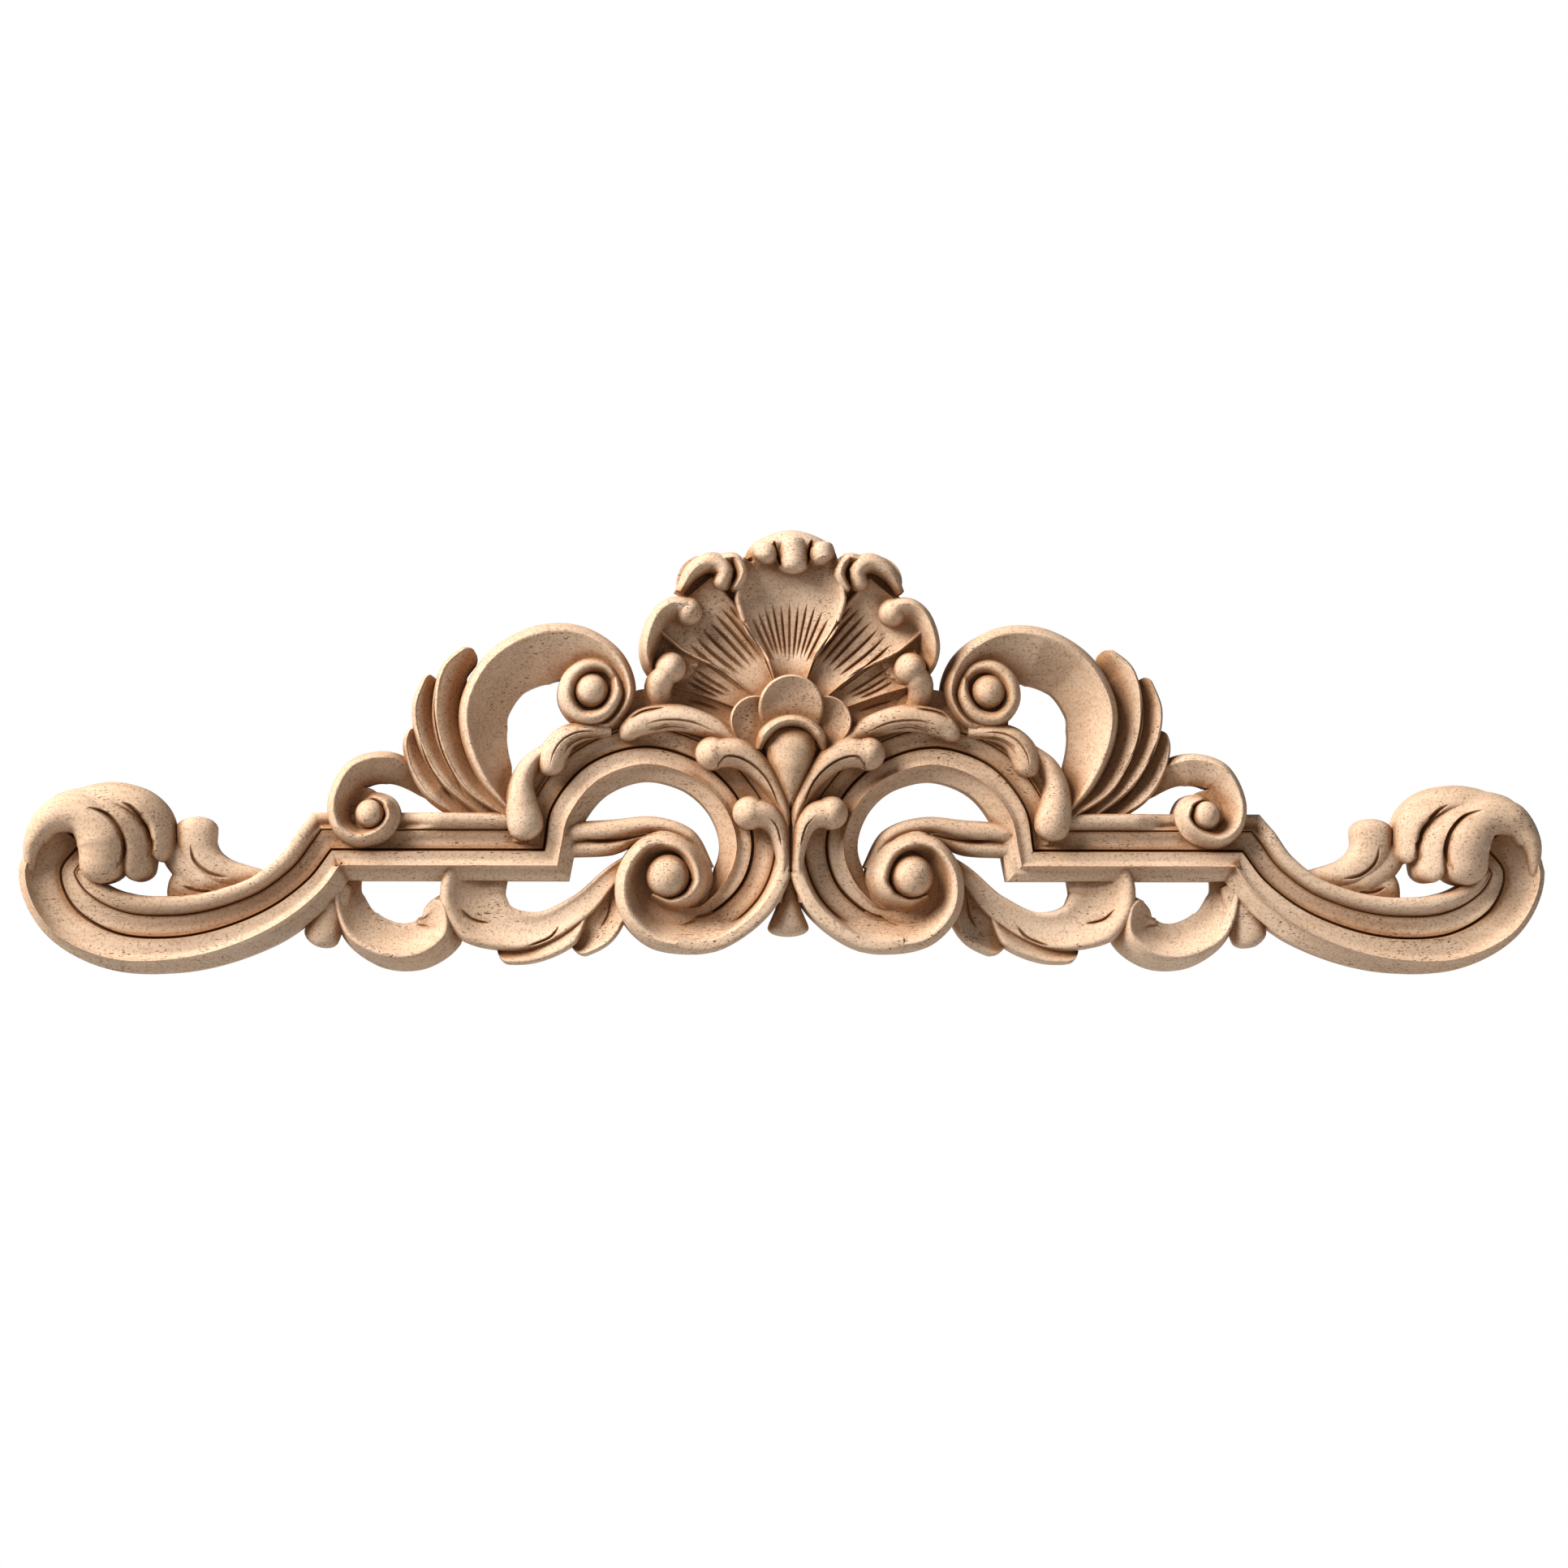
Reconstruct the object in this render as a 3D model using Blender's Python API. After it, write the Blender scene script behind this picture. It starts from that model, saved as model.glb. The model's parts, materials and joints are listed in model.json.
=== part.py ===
"""A carved wooden onlay for furniture: a shell crest between C-scrolls, with leaf work and scrolled ends.

It is one piece of wood, carved in relief from a flat back. The back lies in the plane y = 0, the carving
faces -Y, +Z is up, and the origin is on the back, on the axis of symmetry. Every carved strand is drawn on
a squared-up plan and has its own heights; the strands are joined into one body and its back is sawn flat.
"""

import math

import bmesh
import bpy
from mathutils import Vector

SPAN = 0.400  # tip to tip, in metres
PLAN_SQUARES = 1890  # squares of the plan in that span
SQUARE = SPAN / PLAN_SQUARES
MM = 0.001
STOCK_BELOW = 2.0  # mm of wood below the back, sawn off at the end
WALL_DRAFT = 0.12  # squares that a side wall leans out for each mm of height
TIP_SHARE = 0.16  # share of its width that a rounded strand keeps at its very end
TIP_LIFT = 0.72  # share of its height there
BENCH_STRIPS = 41
FLAT_ANGLE = 9.0  # degrees; facets that meet at less become one
EYE_SIDES = 12
EYE_RINGS = 6

strands = bpy.data.collections.new("strands")


def clear_scene():
    for old in list(bpy.data.objects):
        bpy.data.objects.remove(old)


# Sections across a strand


def rib(half, crest, edge):
    """A rounded strand: half its width in squares, and its heights in mm."""
    shoulder = edge + 0.72 * (crest - edge)
    return [(half, edge), (0.68 * half, shoulder), (0, crest), (-0.68 * half, shoulder), (-half, edge)]


def lap(half, crest, edge):
    """A rounded strand with its crest towards the right, where it laps over its neighbour."""
    rise = crest - edge
    return [
        (half, edge),
        (0.45 * half, edge + 0.6 * rise),
        (-0.25 * half, edge + 0.95 * rise),
        (-0.65 * half, crest),
        (-half, edge + 0.3 * rise),
    ]


def scoop(width, rim, crest, floor, side=-1, drop=1.6, belly=0.0):
    """A raised rim on the line, and beside it a hollow, or a full belly, down to a thin inner edge."""
    fall = crest - floor
    hollow = width - rim
    return [
        (0, crest - drop),
        (side * 0.6 * rim, crest),
        (side * (rim + 0.12 * hollow), crest - (0.3 - 0.2 * belly) * fall),
        (side * (rim + 0.5 * hollow), floor + (0.22 + 0.48 * belly) * fall),
        (side * width, floor),
    ]


def ring(width, crest, foot, side=-1):
    """A ring that rises from a low outer foot on the line to a rounded crest beside the eye."""
    return [
        (0, foot),
        (side * 0.3 * width, 0.5 * (crest + foot)),
        (side * 0.62 * width, crest),
        (side * 0.85 * width, crest - 1),
        (side * width, crest - 5),
    ]


def petal(half, ridge, hollow, tuck=0.0, right=None):
    """A shell petal: a ridge along each side, the right one tucked lower, and a hollow between them."""
    low_ridge = ridge - tuck
    right = right or half
    return [
        (half, ridge - 1),
        (0.9 * half, ridge),
        (0, hollow),
        (-0.9 * right, low_ridge),
        (-right, low_ridge - 1),
    ]


def moulding(back, front, rim=11.0, floor=8.0, band=10.3, toe=7.5, lip=0.56, swell=0.4):
    """The moulding: a hollow and a back rim left of the groove, a band, a lip and a slope right of it."""
    return [
        (back, rim - 0.5),
        (0.76 * back, rim),
        (0.48 * back, floor),
        (1.5, floor),
        (-1.0, band),
        (-lip * front, band + swell),
        (-front, toe),
    ]


# Strands


def side_directions(points):
    """The direction to the left of the line at each point, mitred where the line turns."""
    runs = [(b - a).normalized() for a, b in zip(points, points[1:])]
    runs = [runs[0], *runs, runs[-1]]
    sides = []
    for before, after in zip(runs, runs[1:]):
        mitre = before + after
        share = 1.0 + before.dot(after)
        sides.append(Vector((-mitre.y, mitre.x)) / share)
    return sides


def between(before, a, b, after, t):
    """A point of the smooth curve from a to b, whose slopes come from the knots around them."""
    slope_a = (b - before) / 2
    slope_b = (after - a) / 2
    return (
        (2 * t**3 - 3 * t**2 + 1) * a
        + (t**3 - 2 * t**2 + t) * slope_a
        + (3 * t**2 - 2 * t**3) * b
        + (t**3 - t**2) * slope_b
    )


def flowing_line(knots, steps):
    """A smooth line through the knots, as (position, index); a knot given twice is a sharp corner."""
    knots = [Vector(knot) for knot in knots]
    line = []
    for i, (a, b) in enumerate(zip(knots, knots[1:])):
        if a == b:
            continue
        before = knots[i - 1] if i and knots[i - 1] != a else 2 * a - b
        after = knots[i + 2] if i + 2 < len(knots) and knots[i + 2] != b else 2 * b - a
        for step in range(steps):
            t = step / steps
            line.append((between(before, a, b, after, t), i + t))
    line.append((knots[-1], float(len(knots) - 1)))
    return line


def section_at(stations, index):
    """The section at a point of the line, blended between the nearest two that are given."""
    if index <= stations[0][0]:
        return stations[0][1]
    for (low, first), (high, second) in zip(stations, stations[1:]):
        if index <= high:
            share = (index - low) / (high - low)
            return [
                (a[0] + share * (b[0] - a[0]), a[1] + share * (b[1] - a[1]))
                for a, b in zip(first, second)
            ]
    return stations[-1][1]


def end_share(distance, reach):
    """How much of its width a strand keeps this far from a rounded end."""
    if distance >= reach:
        return 1.0
    return max(TIP_SHARE, math.sqrt(1.0 - (1.0 - distance / reach) ** 2))


def with_round_end(line, reach):
    """The line with one more point close to its last one, where a rounded end narrows fastest."""
    (inner, inner_index), (tip, tip_index) = line[-2:]
    share = min(0.5, 0.3 * reach / (tip - inner).length)
    return line[:-1] + [(tip.lerp(inner, share), tip_index + share * (inner_index - tip_index)), line[-1]]


def strand(name, knots, stations, round_start=0, round_end=0, steps=1):
    """One carved strand: a section carried along a line of the plan, with walls down past the back."""
    line = flowing_line(knots, steps)
    if round_start:
        line = with_round_end(line[::-1], round_start)[::-1]
    if round_end:
        line = with_round_end(line, round_end)
    spots = [spot for spot, index in line]
    travelled = [0.0]
    for a, b in zip(spots, spots[1:]):
        travelled.append(travelled[-1] + (b - a).length)
    bm = bmesh.new()
    rows = len(line)
    columns = len(stations[0][1]) + 2
    grid = bmesh.ops.create_grid(bm, x_segments=rows - 1, y_segments=columns - 1, size=1)["verts"]
    grid = sorted(grid, key=lambda v: (round(v.co.x, 4), v.co.y))
    for row, ((spot, index), side) in enumerate(zip(line, side_directions(spots))):
        section = section_at(stations, index)
        share = 1.0
        if round_start:
            share = min(share, end_share(travelled[row], round_start))
        if round_end:
            share = min(share, end_share(travelled[-1] - travelled[row], round_end))
        lift = TIP_LIFT + (1.0 - TIP_LIFT) * share
        middle = 0.5 * (section[0][0] + section[-1][0])
        top = [(middle + share * (offset - middle), lift * height) for offset, height in section]
        outward = math.copysign(WALL_DRAFT, top[0][0] - top[-1][0])
        first_foot = (top[0][0] + outward * top[0][1], -STOCK_BELOW)
        last_foot = (top[-1][0] - outward * top[-1][1], -STOCK_BELOW)
        for column, (offset, height) in enumerate([first_foot, *top, last_foot]):
            place = spot + side * offset
            grid[row * columns + column].co = (place.x * SQUARE, -height * MM, place.y * SQUARE)
    feet = {v for i, v in enumerate(grid) if i % columns in (0, columns - 1)}
    bottom = [e for e in bm.edges if e.is_boundary and e.verts[0] in feet and e.verts[1] in feet]
    bmesh.ops.bridge_loops(bm, edges=bottom)
    bmesh.ops.holes_fill(bm, edges=[e for e in bm.edges if e.is_boundary])
    finish_strand(bm, name)


def eye(name, centre, radius, crest, seat):
    """A round button at the heart of a scroll: a dome that springs from the seat's height."""
    bm = bmesh.new()
    ball = bmesh.ops.create_uvsphere(bm, u_segments=EYE_SIDES, v_segments=EYE_RINGS, radius=1)["verts"]
    bmesh.ops.delete(bm, geom=[v for v in ball if v.co.z < -0.01], context="VERTS")
    dome = list(bm.verts)
    wall = bmesh.ops.extrude_edge_only(bm, edges=[e for e in bm.edges if e.is_boundary])["geom"]
    foot = {v for v in wall if isinstance(v, bmesh.types.BMVert)}
    bmesh.ops.holes_fill(bm, edges=[e for e in bm.edges if e.is_boundary])
    for v in [*dome, *foot]:
        level = -STOCK_BELOW if v in foot else seat + (crest - seat) * v.co.z
        v.co = ((centre[0] + radius * v.co.x) * SQUARE, -level * MM, (centre[1] + radius * v.co.y) * SQUARE)
    finish_strand(bm, name)


def plate(name, centre, across, up, height, sides=20):
    """A low round or oval ground that carries the strands above it."""
    bm = bmesh.new()
    disc = bmesh.ops.create_cone(bm, cap_ends=True, segments=sides, radius1=1, radius2=1, depth=1)["verts"]
    for v in disc:
        level = height if v.co.z > 0 else -STOCK_BELOW
        v.co = ((centre[0] + across * v.co.x) * SQUARE, -level * MM, (centre[1] + up * v.co.y) * SQUARE)
    finish_strand(bm, name)


def arc(centre, radius, start, end, steps):
    """Points along a round stretch of the plan, from one bearing in degrees to another."""
    bearings = [math.radians(start + (end - start) * i / steps) for i in range(steps + 1)]
    return [(centre[0] + radius * math.cos(a), centre[1] + radius * math.sin(a)) for a in bearings]


def finish_strand(bm, name):
    bmesh.ops.recalc_face_normals(bm, faces=bm.faces)
    mesh = bpy.data.meshes.new(name)
    bm.to_mesh(mesh)
    bm.free()
    made = bpy.data.objects.new(name, mesh)
    strands.objects.link(made)
    made.hide_render = True
    made.display_type = "WIRE"
    return made


# The moulding, from inside the end scroll to the eye of the centre volute


def carve_moulding():
    end_scroll = [(-867, -115), (-891, -149), (-873, -194), (-824, -224), (-763, -230)]
    rise = [(-702, -220), (-640, -195), (-592, -160), (-562, -122)]
    arch = [(-302, -122), (-291, -68), (-248, -17), (-180, 5), (-113, -13), (-67, -54)]
    volute = [(-46, -110), (-59, -163), (-100, -200), (-137, -201)]
    strand(
        "moulding",
        [*end_scroll, *rise, rise[-1], arch[0], *arch, *volute],
        [
            (0, moulding(30, 34, 10, 8.5, 8, 9, 0.8, 2.0)),
            (1, moulding(32, 51, 10, 8.5, 7.5, 8, 0.8, 4.0)),
            (2, moulding(46, 48, 10.5, 8.5, 7.8, 7, 0.78, 3.4)),
            (3, moulding(51, 45, 11, 8.2, 9.3, 5.5, 0.68, 1.4)),
            (4, moulding(51, 44, 11, 8, 10.3, 5, 0.6)),
            (6, moulding(43, 43)),
            (8, moulding(46, 37)),
            (10, moulding(46, 39)),
            (11, moulding(40, 42, 8.8, 8)),
            (12, moulding(44, 43, 8.8, 8)),
            (13, moulding(42, 43, 8.8, 8)),
            (14, moulding(44, 41, 8.8, 8)),
            (15, moulding(42, 38, 9.5, 8)),
            (16, moulding(42, 38, 12.5, 8, 10.3)),
            (17, moulding(53, 39, 14, 8.2, 10, 7)),
            (18, moulding(50, 38, 15, 8, 9, 6.5)),
            (20, moulding(42, 14, 15, 7, 7.5, 5)),
        ],
        steps=2,
    )


def carve_end_scroll():
    """The leaf that rolls over the top of the end scroll, in three overlapping lobes."""
    strand(
        "roll_outer",
        [(-910, -97), (-876, -67), (-831, -56), (-793, -66), (-770, -91), (-767, -137)],
        [(0, lap(12, 12, 8)), (1, lap(15, 14, 9)), (3, lap(18, 14, 8)), (5, lap(15, 11, 6))],
        round_end=14,
        steps=2,
    )
    strand(
        "roll_middle",
        [(-917, -109), (-888, -74), (-845, -68), (-813, -85), (-796, -115), (-798, -161)],
        [(0, lap(12, 13, 8)), (1, lap(20, 16, 10)), (3, lap(22, 16, 8.5)), (5, lap(19, 13, 7))],
        round_end=17,
        steps=2,
    )
    strand(
        "roll_inner",
        [(-928, -152), (-923, -113), (-898, -83), (-863, -81), (-840, -111), (-842, -164)],
        [
            (0, rib(5, 10, 8)),
            (1, rib(12, 15, 10)),
            (2, rib(21, 17, 11)),
            (4, rib(31, 18, 11)),
            (5, rib(26, 15, 10)),
        ],
        round_end=22,
        steps=2,
    )


def carve_bracket_leaf():
    """The small leaf between the end scroll's roll and its hollow."""
    strand(
        "bracket_tip",
        [(-646, -159), (-700, -148), (-725, -121), (-727, -81)],
        [(0, rib(12, 8, 5)), (1, rib(20, 9, 5.5)), (3, rib(26, 9.5, 6))],
        round_end=16,
    )
    strand(
        "bracket_middle",
        [(-668, -171), (-717, -157), (-745, -133), (-755, -109)],
        [(0, rib(8, 7.5, 5)), (1, rib(22, 8.5, 5)), (3, rib(20, 7, 4.5))],
        round_end=12,
    )
    strand(
        "bracket_foot",
        [(-678, -185), (-717, -175), (-761, -161)],
        [(0, rib(10, 7.5, 5)), (1, rib(20, 8, 5)), (2, rib(26, 7, 5))],
        round_end=14,
    )


# Below the moulding


def carve_low_scroll():
    """The small C-scroll that hangs below the straight moulding, and the bud beside it."""

    def lip_and_hollow(width, wall, crest, floor=4.0):
        slope = floor + 0.3 * (crest - floor)
        return [(-wall, 2.5), (0, crest), (6, crest - 1), (0.5 * width, slope), (width, floor)]

    start = [(-550, -143), (-557, -181), (-540, -227), (-498, -251)]
    strand(
        "low_scroll",
        [*start, (-455, -250), (-423, -226), (-423, -194), (-435, -179)],
        [
            (0, lip_and_hollow(25, 3, 7)),
            (1, lip_and_hollow(34, 4, 8)),
            (2, lip_and_hollow(44, 8, 9)),
            (3, lip_and_hollow(43, 15, 10)),
            (4, lip_and_hollow(41, 19, 10, 4.5)),
            (5, lip_and_hollow(38, 22, 10, 5)),
            (7, lip_and_hollow(32, 16, 9, 6)),
        ],
        round_end=10,
        steps=2,
    )
    strand(
        "bud",
        [(-546, -163), (-561, -193), (-580, -240)],
        [(0, rib(10, 7, 4)), (1, rib(20, 7.5, 4)), (2, rib(23, 7.5, 3.5))],
        round_end=16,
    )


def carve_low_leaf():
    """The acanthus that sweeps from the centre volute to the underside of the moulding."""

    def blade(left, right, crest, floor):
        trough = floor + 0.5
        edge = [(left, crest - 1.5), (0.8 * left, crest), (0.3 * left, trough)]
        return [*edge, (-0.6 * right, trough), (-right, floor)]

    strand(
        "low_leaf_stem",
        [(-197, -136), (-221, -152), (-256, -185), (-304, -215), (-354, -216), (-389, -185), (-385, -143)],
        [
            (0, blade(10, 9, 8, 7)),
            (1, blade(13, 9, 8, 7)),
            (2, blade(20, 11, 8, 6.5)),
            (3, blade(22, 18, 8, 6)),
            (4, blade(29, 29, 9, 5.5)),
            (4.5, blade(40, 38, 9.2, 5.2)),
            (5, blade(39, 42, 9.5, 5)),
            (6, blade(38, 40, 9.5, 5)),
        ],
        steps=2,
    )
    strand(
        "low_leaf_lobe_near",
        [(-209, -128), (-216, -184), (-232, -221), (-268, -240)],
        [
            (0, blade(8, 8, 8, 6)),
            (1, blade(20, 26, 9, 5.5)),
            (2, blade(19, 28, 9, 5.5)),
            (3, blade(18, 22, 8.5, 5)),
        ],
        round_end=14,
    )
    strand(
        "low_leaf_lobe_middle",
        [(-248, -181), (-278, -219), (-317, -240), (-359, -245)],
        [(0, blade(7, 8, 8, 6)), (1, blade(24, 20, 9.5, 6)), (3, blade(17, 18, 8.5, 5.5))],
        round_end=14,
    )


# Above the moulding


def carve_small_scroll():
    """The small C-scroll whose eye rests on the moulding."""
    arm = [(-386, -86), (-436, -30), (-490, -1), (-541, -13), (-566, -57)]
    turn = [(-561, -97), (-532, -119), (-496, -111), (-478, -85), (-486, -59), (-508, -47)]
    strand(
        "small_scroll",
        arm + turn,
        [
            (0, scoop(14, 6, 3, 2, 1)),
            (1, scoop(31, 10, 4, 3, 1)),
            (2, scoop(39, 12, 10.5, 6, 1, belly=0.5)),
            (3, scoop(40, 12, 13, 7, 1, belly=0.6)),
            (5, scoop(28, 12, 14, 9, 1, belly=0.4)),
            (7, ring(22, 14, 9.5, 1)),
            (9, ring(18, 14, 9, 1)),
            (10, ring(8, 11, 8.5, 1)),
        ],
        steps=2,
    )
    plate("small_scroll_seat", (-515, -78), 26, 26, 10, 12)
    eye("small_scroll_eye", (-515, -78), 17.5, 15.5, 11)


def carve_fan():
    """Three slender leaves that lean on each other between the small scroll and the great one."""
    strand(
        "fan_low",
        [(-396, -92), (-443, -62), (-467, -28), (-476, 6), (-471, 30)],
        [
            (0, scoop(22, 5, 8, 4, belly=0.8)),
            (1, scoop(36, 7, 10, 4, belly=0.8)),
            (2, scoop(32, 7, 9, 4, belly=0.8)),
            (4, scoop(19, 6, 7.5, 4, belly=0.8)),
        ],
        round_end=8,
    )
    strand(
        "fan_middle",
        [(-373, -88), (-427, -44), (-456, 4), (-465, 53), (-450, 97)],
        [
            (0, scoop(22, 5, 9.5, 5, belly=0.8)),
            (1, scoop(36, 7, 11, 5, belly=0.8)),
            (3, scoop(30, 7, 10, 5, belly=0.8)),
            (4, scoop(20, 6, 8.5, 5, belly=0.8)),
        ],
        round_end=9,
    )
    strand(
        "fan_high",
        [(-350, -84), (-400, -50), (-431, 2), (-440, 52), (-429, 104), (-397, 134)],
        [
            (0, scoop(22, 5, 11, 6, belly=0.8)),
            (2, scoop(37, 7, 12, 5.5, belly=0.8)),
            (4, scoop(36, 7, 11, 5.5, belly=0.8)),
            (5, scoop(26, 6, 9.5, 5.5, belly=0.8)),
        ],
        round_end=11,
    )


def carve_great_scroll():
    """The great C-scroll, its inner ring and its eye."""
    arm = [(-336, -90), (-379, -42), (-404, 16), (-403, 68), (-371, 121), (-315, 153)]
    turn = [(-255, 153), (-206, 120), (-190, 69), (-220, 27), (-270, 31)]
    strand(
        "great_scroll",
        arm + turn,
        [
            (0, scoop(14, 8, 11, 8)),
            (1, scoop(44, 12, 13, 6, belly=0.4)),
            (2, scoop(58, 15, 14, 5, belly=0.5)),
            (4, scoop(65, 16, 14.5, 5, belly=0.6)),
            (5, scoop(71, 17, 15, 6, belly=0.8)),
            (6, scoop(66, 15, 15, 9, belly=0.4)),
            (7, scoop(42, 13, 15, 10, belly=0.3)),
            (8, scoop(30, 11, 14.5, 10)),
            (10, scoop(14, 8, 12, 9)),
        ],
        steps=2,
    )
    plate("great_scroll_seat", (-246, 72), 37, 36, 10, 12)
    ring_start = [(-270, 129), (-236, 120), (-217, 96), (-215, 68), (-230, 45)]
    strand(
        "great_scroll_ring",
        [*ring_start, (-257, 41), (-273, 62), (-269, 88), (-256, 98)],
        [
            (0, rib(3, 10, 8)),
            (1, rib(6, 13.5, 9.5)),
            (2, rib(8, 15.5, 10)),
            (4, rib(10, 15.5, 10)),
            (6, rib(11, 15.5, 10)),
            (7, rib(9, 14.5, 10)),
            (8, rib(5, 12, 9.5)),
        ],
        steps=2,
    )
    eye("great_scroll_eye", (-245, 74), 21, 17, 11.5)


def carve_arch_leaves():
    """The acanthus that lies over the back of the arch, in three lobes."""
    strand(
        "arch_lobe_low",
        [(-300, 0), (-322, -20), (-336, -40), (-341, -64), (-330, -85), (-319, -107)],
        [
            (0, rib(8, 12, 8)),
            (1, rib(9, 13.5, 8)),
            (2, rib(11, 14, 8)),
            (3, rib(14, 14.5, 8.5)),
            (4, rib(20, 15, 9)),
            (5, rib(19, 14, 9)),
        ],
        round_end=10,
        steps=2,
    )
    strand(
        "arch_lobe_middle",
        [(-220, 25), (-248, 25), (-272, 18), (-286, 4), (-293, -14), (-290, -31)],
        [
            (0, rib(8, 12, 9)),
            (1, rib(12, 14, 9)),
            (2, rib(15, 15, 8.5)),
            (3, rib(18, 15.3, 8.5)),
            (4, rib(18, 15, 8.5)),
            (5, rib(15, 14, 9)),
        ],
        round_end=10,
        steps=2,
    )
    strand(
        "arch_lobe_high",
        [(-53, 2), (-91, 26), (-139, 41), (-183, 35), (-209, 15)],
        [
            (0, rib(8, 14, 10)),
            (1, rib(14, 15, 11)),
            (2, rib(17, 15.5, 11)),
            (3, rib(17, 15, 11)),
            (4, rib(10, 13.5, 10)),
        ],
        round_end=13,
        steps=2,
    )


def carve_centre_volute():
    """The turn of the centre volute round its eye, and the two tendrils that spring from it."""
    outer_turn = [(-45, -218), (-76, -240), (-117, -249), (-172, -240), (-209, -201), (-213, -151)]
    inner_turn = [(-187, -110), (-147, -97), (-111, -115), (-94, -157), (-112, -188), (-145, -197)]
    strand(
        "volute_turn",
        [*outer_turn, *inner_turn, (-173, -183)],
        [
            (0, scoop(34, 12, 11.5, 6)),
            (1, scoop(48, 15, 14.3, 7)),
            (2, scoop(46, 16, 15, 7)),
            (4, scoop(38, 16, 15, 7.5)),
            (6, scoop(30, 16, 14.5, 8)),
            (7, ring(26, 14.5, 10)),
            (9, ring(29, 15, 8)),
            (10, ring(25, 15, 8)),
            (12, ring(10, 12, 8)),
        ],
        steps=2,
    )
    plate("volute_seat", (-150, -159), 47, 45, 8, 16)
    eye("volute_eye", (-150, -154), 27, 17, 10)
    strand(
        "tendril_high",
        [(-276, -100), (-221, -97), (-167, -91), (-123, -105), (-96, -144)],
        [(0, rib(13, 8.5, 5)), (1, rib(13, 9, 5)), (3, rib(9, 10, 6)), (4, rib(4, 8, 6))],
        steps=2,
    )
    strand(
        "tendril_low",
        [(-272, -120), (-220, -117), (-183, -104), (-151, -104)],
        [(0, rib(9, 7, 4)), (1, rib(8, 7, 4)), (2, rib(7, 8, 5)), (3, rib(5, 8, 6))],
    )


def carve_heart():
    """The hooked leaves beside the axis, each with a round knob."""
    eye("hook_high_knob", (-97, -2), 20, 18.7, 11.5)
    eye("hook_low_knob", (-50, -76), 21, 18.7, 11.5)
    strand(
        "hook_high",
        [(-2, -116), (-7, -78), (-21, -46), (-41, -19), (-65, -3), (-91, -3)],
        [
            (0, rib(4, 13, 10)),
            (1, rib(8, 15, 10)),
            (2, rib(13, 16, 10)),
            (4, rib(19, 17, 11.5)),
            (5, rib(18, 16.5, 11.5)),
        ],
        round_end=15,
        steps=2,
    )
    strand(
        "hook_low",
        [(-15, -186), (-9, -136), (-15, -98), (-28, -80), (-45, -76)],
        [
            (0, rib(5, 13, 10)),
            (1, rib(8, 15, 10)),
            (2, rib(13, 16.5, 10)),
            (3, rib(16, 16.8, 11)),
            (4, rib(14, 15.5, 11.5)),
        ],
        round_end=18,
        steps=2,
    )


def carve_axis():
    """What stands on the axis: the ground between the volutes, the drop under its bow, and the collar."""
    strand(
        "axis_ground",
        [(0, 76), (0, 26), (0, -34), (0, -94), (0, -184)],
        [
            (0, rib(70, 11, 9)),
            (1, rib(70, 11, 9)),
            (2, rib(46, 11, 9)),
            (3, rib(20, 10, 8)),
            (4, rib(10, 8, 6)),
        ],
    )
    strand(
        "drop",
        [(0, 30), (0, 14), (0, -6), (0, -24), (0, -54)],
        [
            (0, rib(10, 11, 9)),
            (1, rib(28, 17, 11)),
            (2, rib(33, 18, 11)),
            (3, rib(25, 17.5, 11)),
            (4, rib(3, 13.5, 11)),
        ],
    )
    strand(
        "bow",
        arc((1, -4), 41, 172, 8, 6),
        [(0, rib(4, 15, 11)), (1, rib(8, 18.8, 12)), (5, rib(8, 18.8, 12)), (6, rib(4, 15, 11))],
    )
    plate("collar", (0, 54), 38, 36, 13, 16)
    strand(
        "collar_rim",
        arc((0, 54), 33, 205, -25, 8),
        [(0, rib(6, 16, 13)), (4, rib(7, 17.5, 13)), (8, rib(6, 16, 13))],
    )
    strand(
        "pendant",
        [(0, -160), (0, -194), (0, -228)],
        [(0, rib(5, 7, 4)), (1, rib(14, 7.5, 4)), (2, rib(30, 7, 3.5))],
        round_end=14,
    )


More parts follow.
